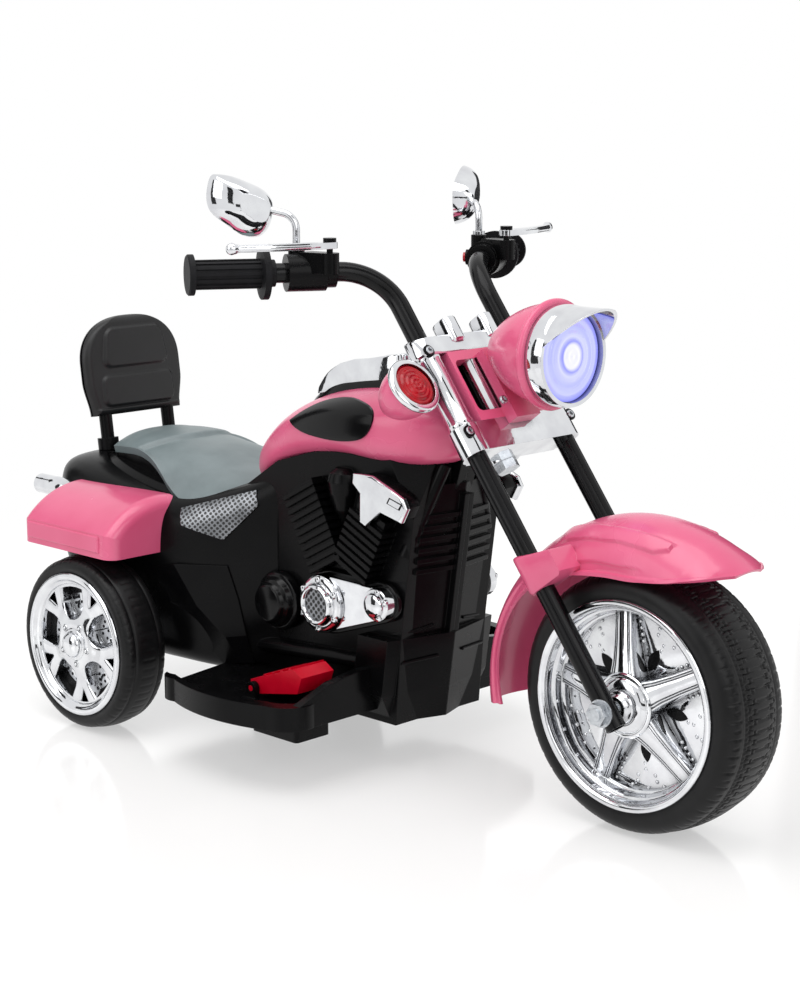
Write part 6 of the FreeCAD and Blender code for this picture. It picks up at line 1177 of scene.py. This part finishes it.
def buildFloor(look):
    # A pale floor that fades out into the white world, so it keeps the shadow and no horizon shows
    mat = bpy.data.materials.new("whiteStudioFloor")
    tree = emptyTree(mat)
    where = addNode(tree, "ShaderNodeTexCoord").outputs["Object"]
    away = addNode(tree, "ShaderNodeVectorMath", {"operation": "LENGTH"}, {0: where})
    start, end = look["fade"]
    fade = addNode(tree, "ShaderNodeMapRange",
                   {"From Min": start, "From Max": end, "interpolation_type": "SMOOTHSTEP"},
                   {"Value": away.outputs["Value"]})
    paint = addNode(tree, "ShaderNodeBsdfPrincipled",
                    {"Base Color": toLinear(look["floor"]), "Roughness": look["gloss"],
                     "Specular IOR Level": look["sheen"], "Emission Color": white,
                     "Emission Strength": look["lift"]})
    clear = addNode(tree, "ShaderNodeBsdfTransparent")
    mix = addNode(tree, "ShaderNodeMixShader", None,
                  {0: fade.outputs["Result"], 1: paint.outputs["BSDF"], 2: clear.outputs["BSDF"]})
    addNode(tree, "ShaderNodeOutputMaterial", None, {"Surface": mix.outputs["Shader"]})
    half = look["floorHalf"]
    addCard("studioFloor", [(x * half, y * half, 0) for x, y in cardCorners], mat)


def buildWorld(look):
    # Soft light on the object, and plain white where the camera, gloss or glass looks past it
    scene.world = bpy.data.worlds.new("softStudio")
    tree = emptyTree(scene.world)
    path = addNode(tree, "ShaderNodeLightPath").outputs
    seen = path["Is Camera Ray"]
    for ray in ("Is Glossy Ray", "Is Transmission Ray"):
        seen = addNode(tree, "ShaderNodeMath", {"operation": "MAXIMUM"}, {0: seen, 1: path[ray]}).outputs[0]
    soft = addNode(tree, "ShaderNodeBackground", {"Color": white, "Strength": look["ambient"]})
    plain = addNode(tree, "ShaderNodeBackground", {"Color": white, "Strength": 1.0})
    mix = addNode(tree, "ShaderNodeMixShader", None, {0: seen, 1: soft.outputs[0], 2: plain.outputs[0]})
    addNode(tree, "ShaderNodeOutputWorld", None, {"Surface": mix.outputs["Shader"]})


buildFloor(stageLook)
buildWorld(stageLook)

softboxLook = {  # place, aim, size in metres, watts
    "overheadSoftbox": ((0.1, -0.5, 2.3), (0.0, 0.0, 0.2), 1.8, 26.0),
    "frontSoftbox": ((1.9, -0.6, 1.3), (0.1, 0.0, 0.3), 1.2, 8.0),
    "sideSoftbox": ((-0.6, -2.2, 1.2), (-0.1, 0.0, 0.25), 1.4, 10.0),
}
for lampName, (place, aim, size, watts) in softboxLook.items():
    lamp = bpy.data.lights.new(lampName, "AREA")
    lamp.size = size
    lamp.energy = watts
    holder = addObject(lampName, lamp)
    holder.location = place
    holder.rotation_euler = aimed(place, aim).to_euler()

flagLook = {  # black cards seen only in reflections: place, width, height
    "flagLeft": ((-1.5, -2.6, 0.9), 1.1, 2.4),
    "flagRight": ((3.0, 0.3, 0.8), 1.0, 2.2),
    "flagFar": ((-0.6, 3.0, 0.9), 1.6, 2.0),
    "flagCamera": ((1.2, -2.8, 1.0), 0.6, 1.6),
    "flagLow": ((1.9, -1.7, 0.25), 1.6, 0.3),
    "flagBack": ((-3.0, -0.6, 1.0), 0.9, 2.0),
    "flagTop": ((0.9, -0.2, 2.6), 0.5, 2.6),
    "flagFront": ((2.3, -1.2, 1.6), 0.35, 1.2),
}
flagAim, flagCloth = (0.0, 0.0, 0.3), "#141416"
flagMat = bpy.data.materials.new("blackFlagCloth")
flagMat.use_nodes = True
flagMat.node_tree.nodes["Principled BSDF"].inputs["Base Color"].default_value = toLinear(flagCloth)
for flagName, (place, width, height) in flagLook.items():
    turn = aimed(place, flagAim).to_matrix()
    corners = [turn @ Vector((x * width / 2, y * height / 2, 0)) + Vector(place) for x, y in cardCorners]
    flag = addCard(flagName, corners, flagMat)
    flag.visible_camera = flag.visible_diffuse = flag.visible_shadow = False
print("stage, lamps and flags set")

cameraLook = {"place": (1.45684, -1.48460, 0.67276), "aim": (0.00676, 0.0, 0.26630), "lens": 74.53,
              "sensor": 36.0}
lens = bpy.data.cameras.new("photoCamera")
lens.lens = cameraLook["lens"]
lens.sensor_width = cameraLook["sensor"]
scene.camera = addObject("photoCamera", lens)
scene.camera.location = cameraLook["place"]
scene.camera.rotation_euler = aimed(cameraLook["place"], cameraLook["aim"]).to_euler()
scene.view_settings.view_transform = "Standard"
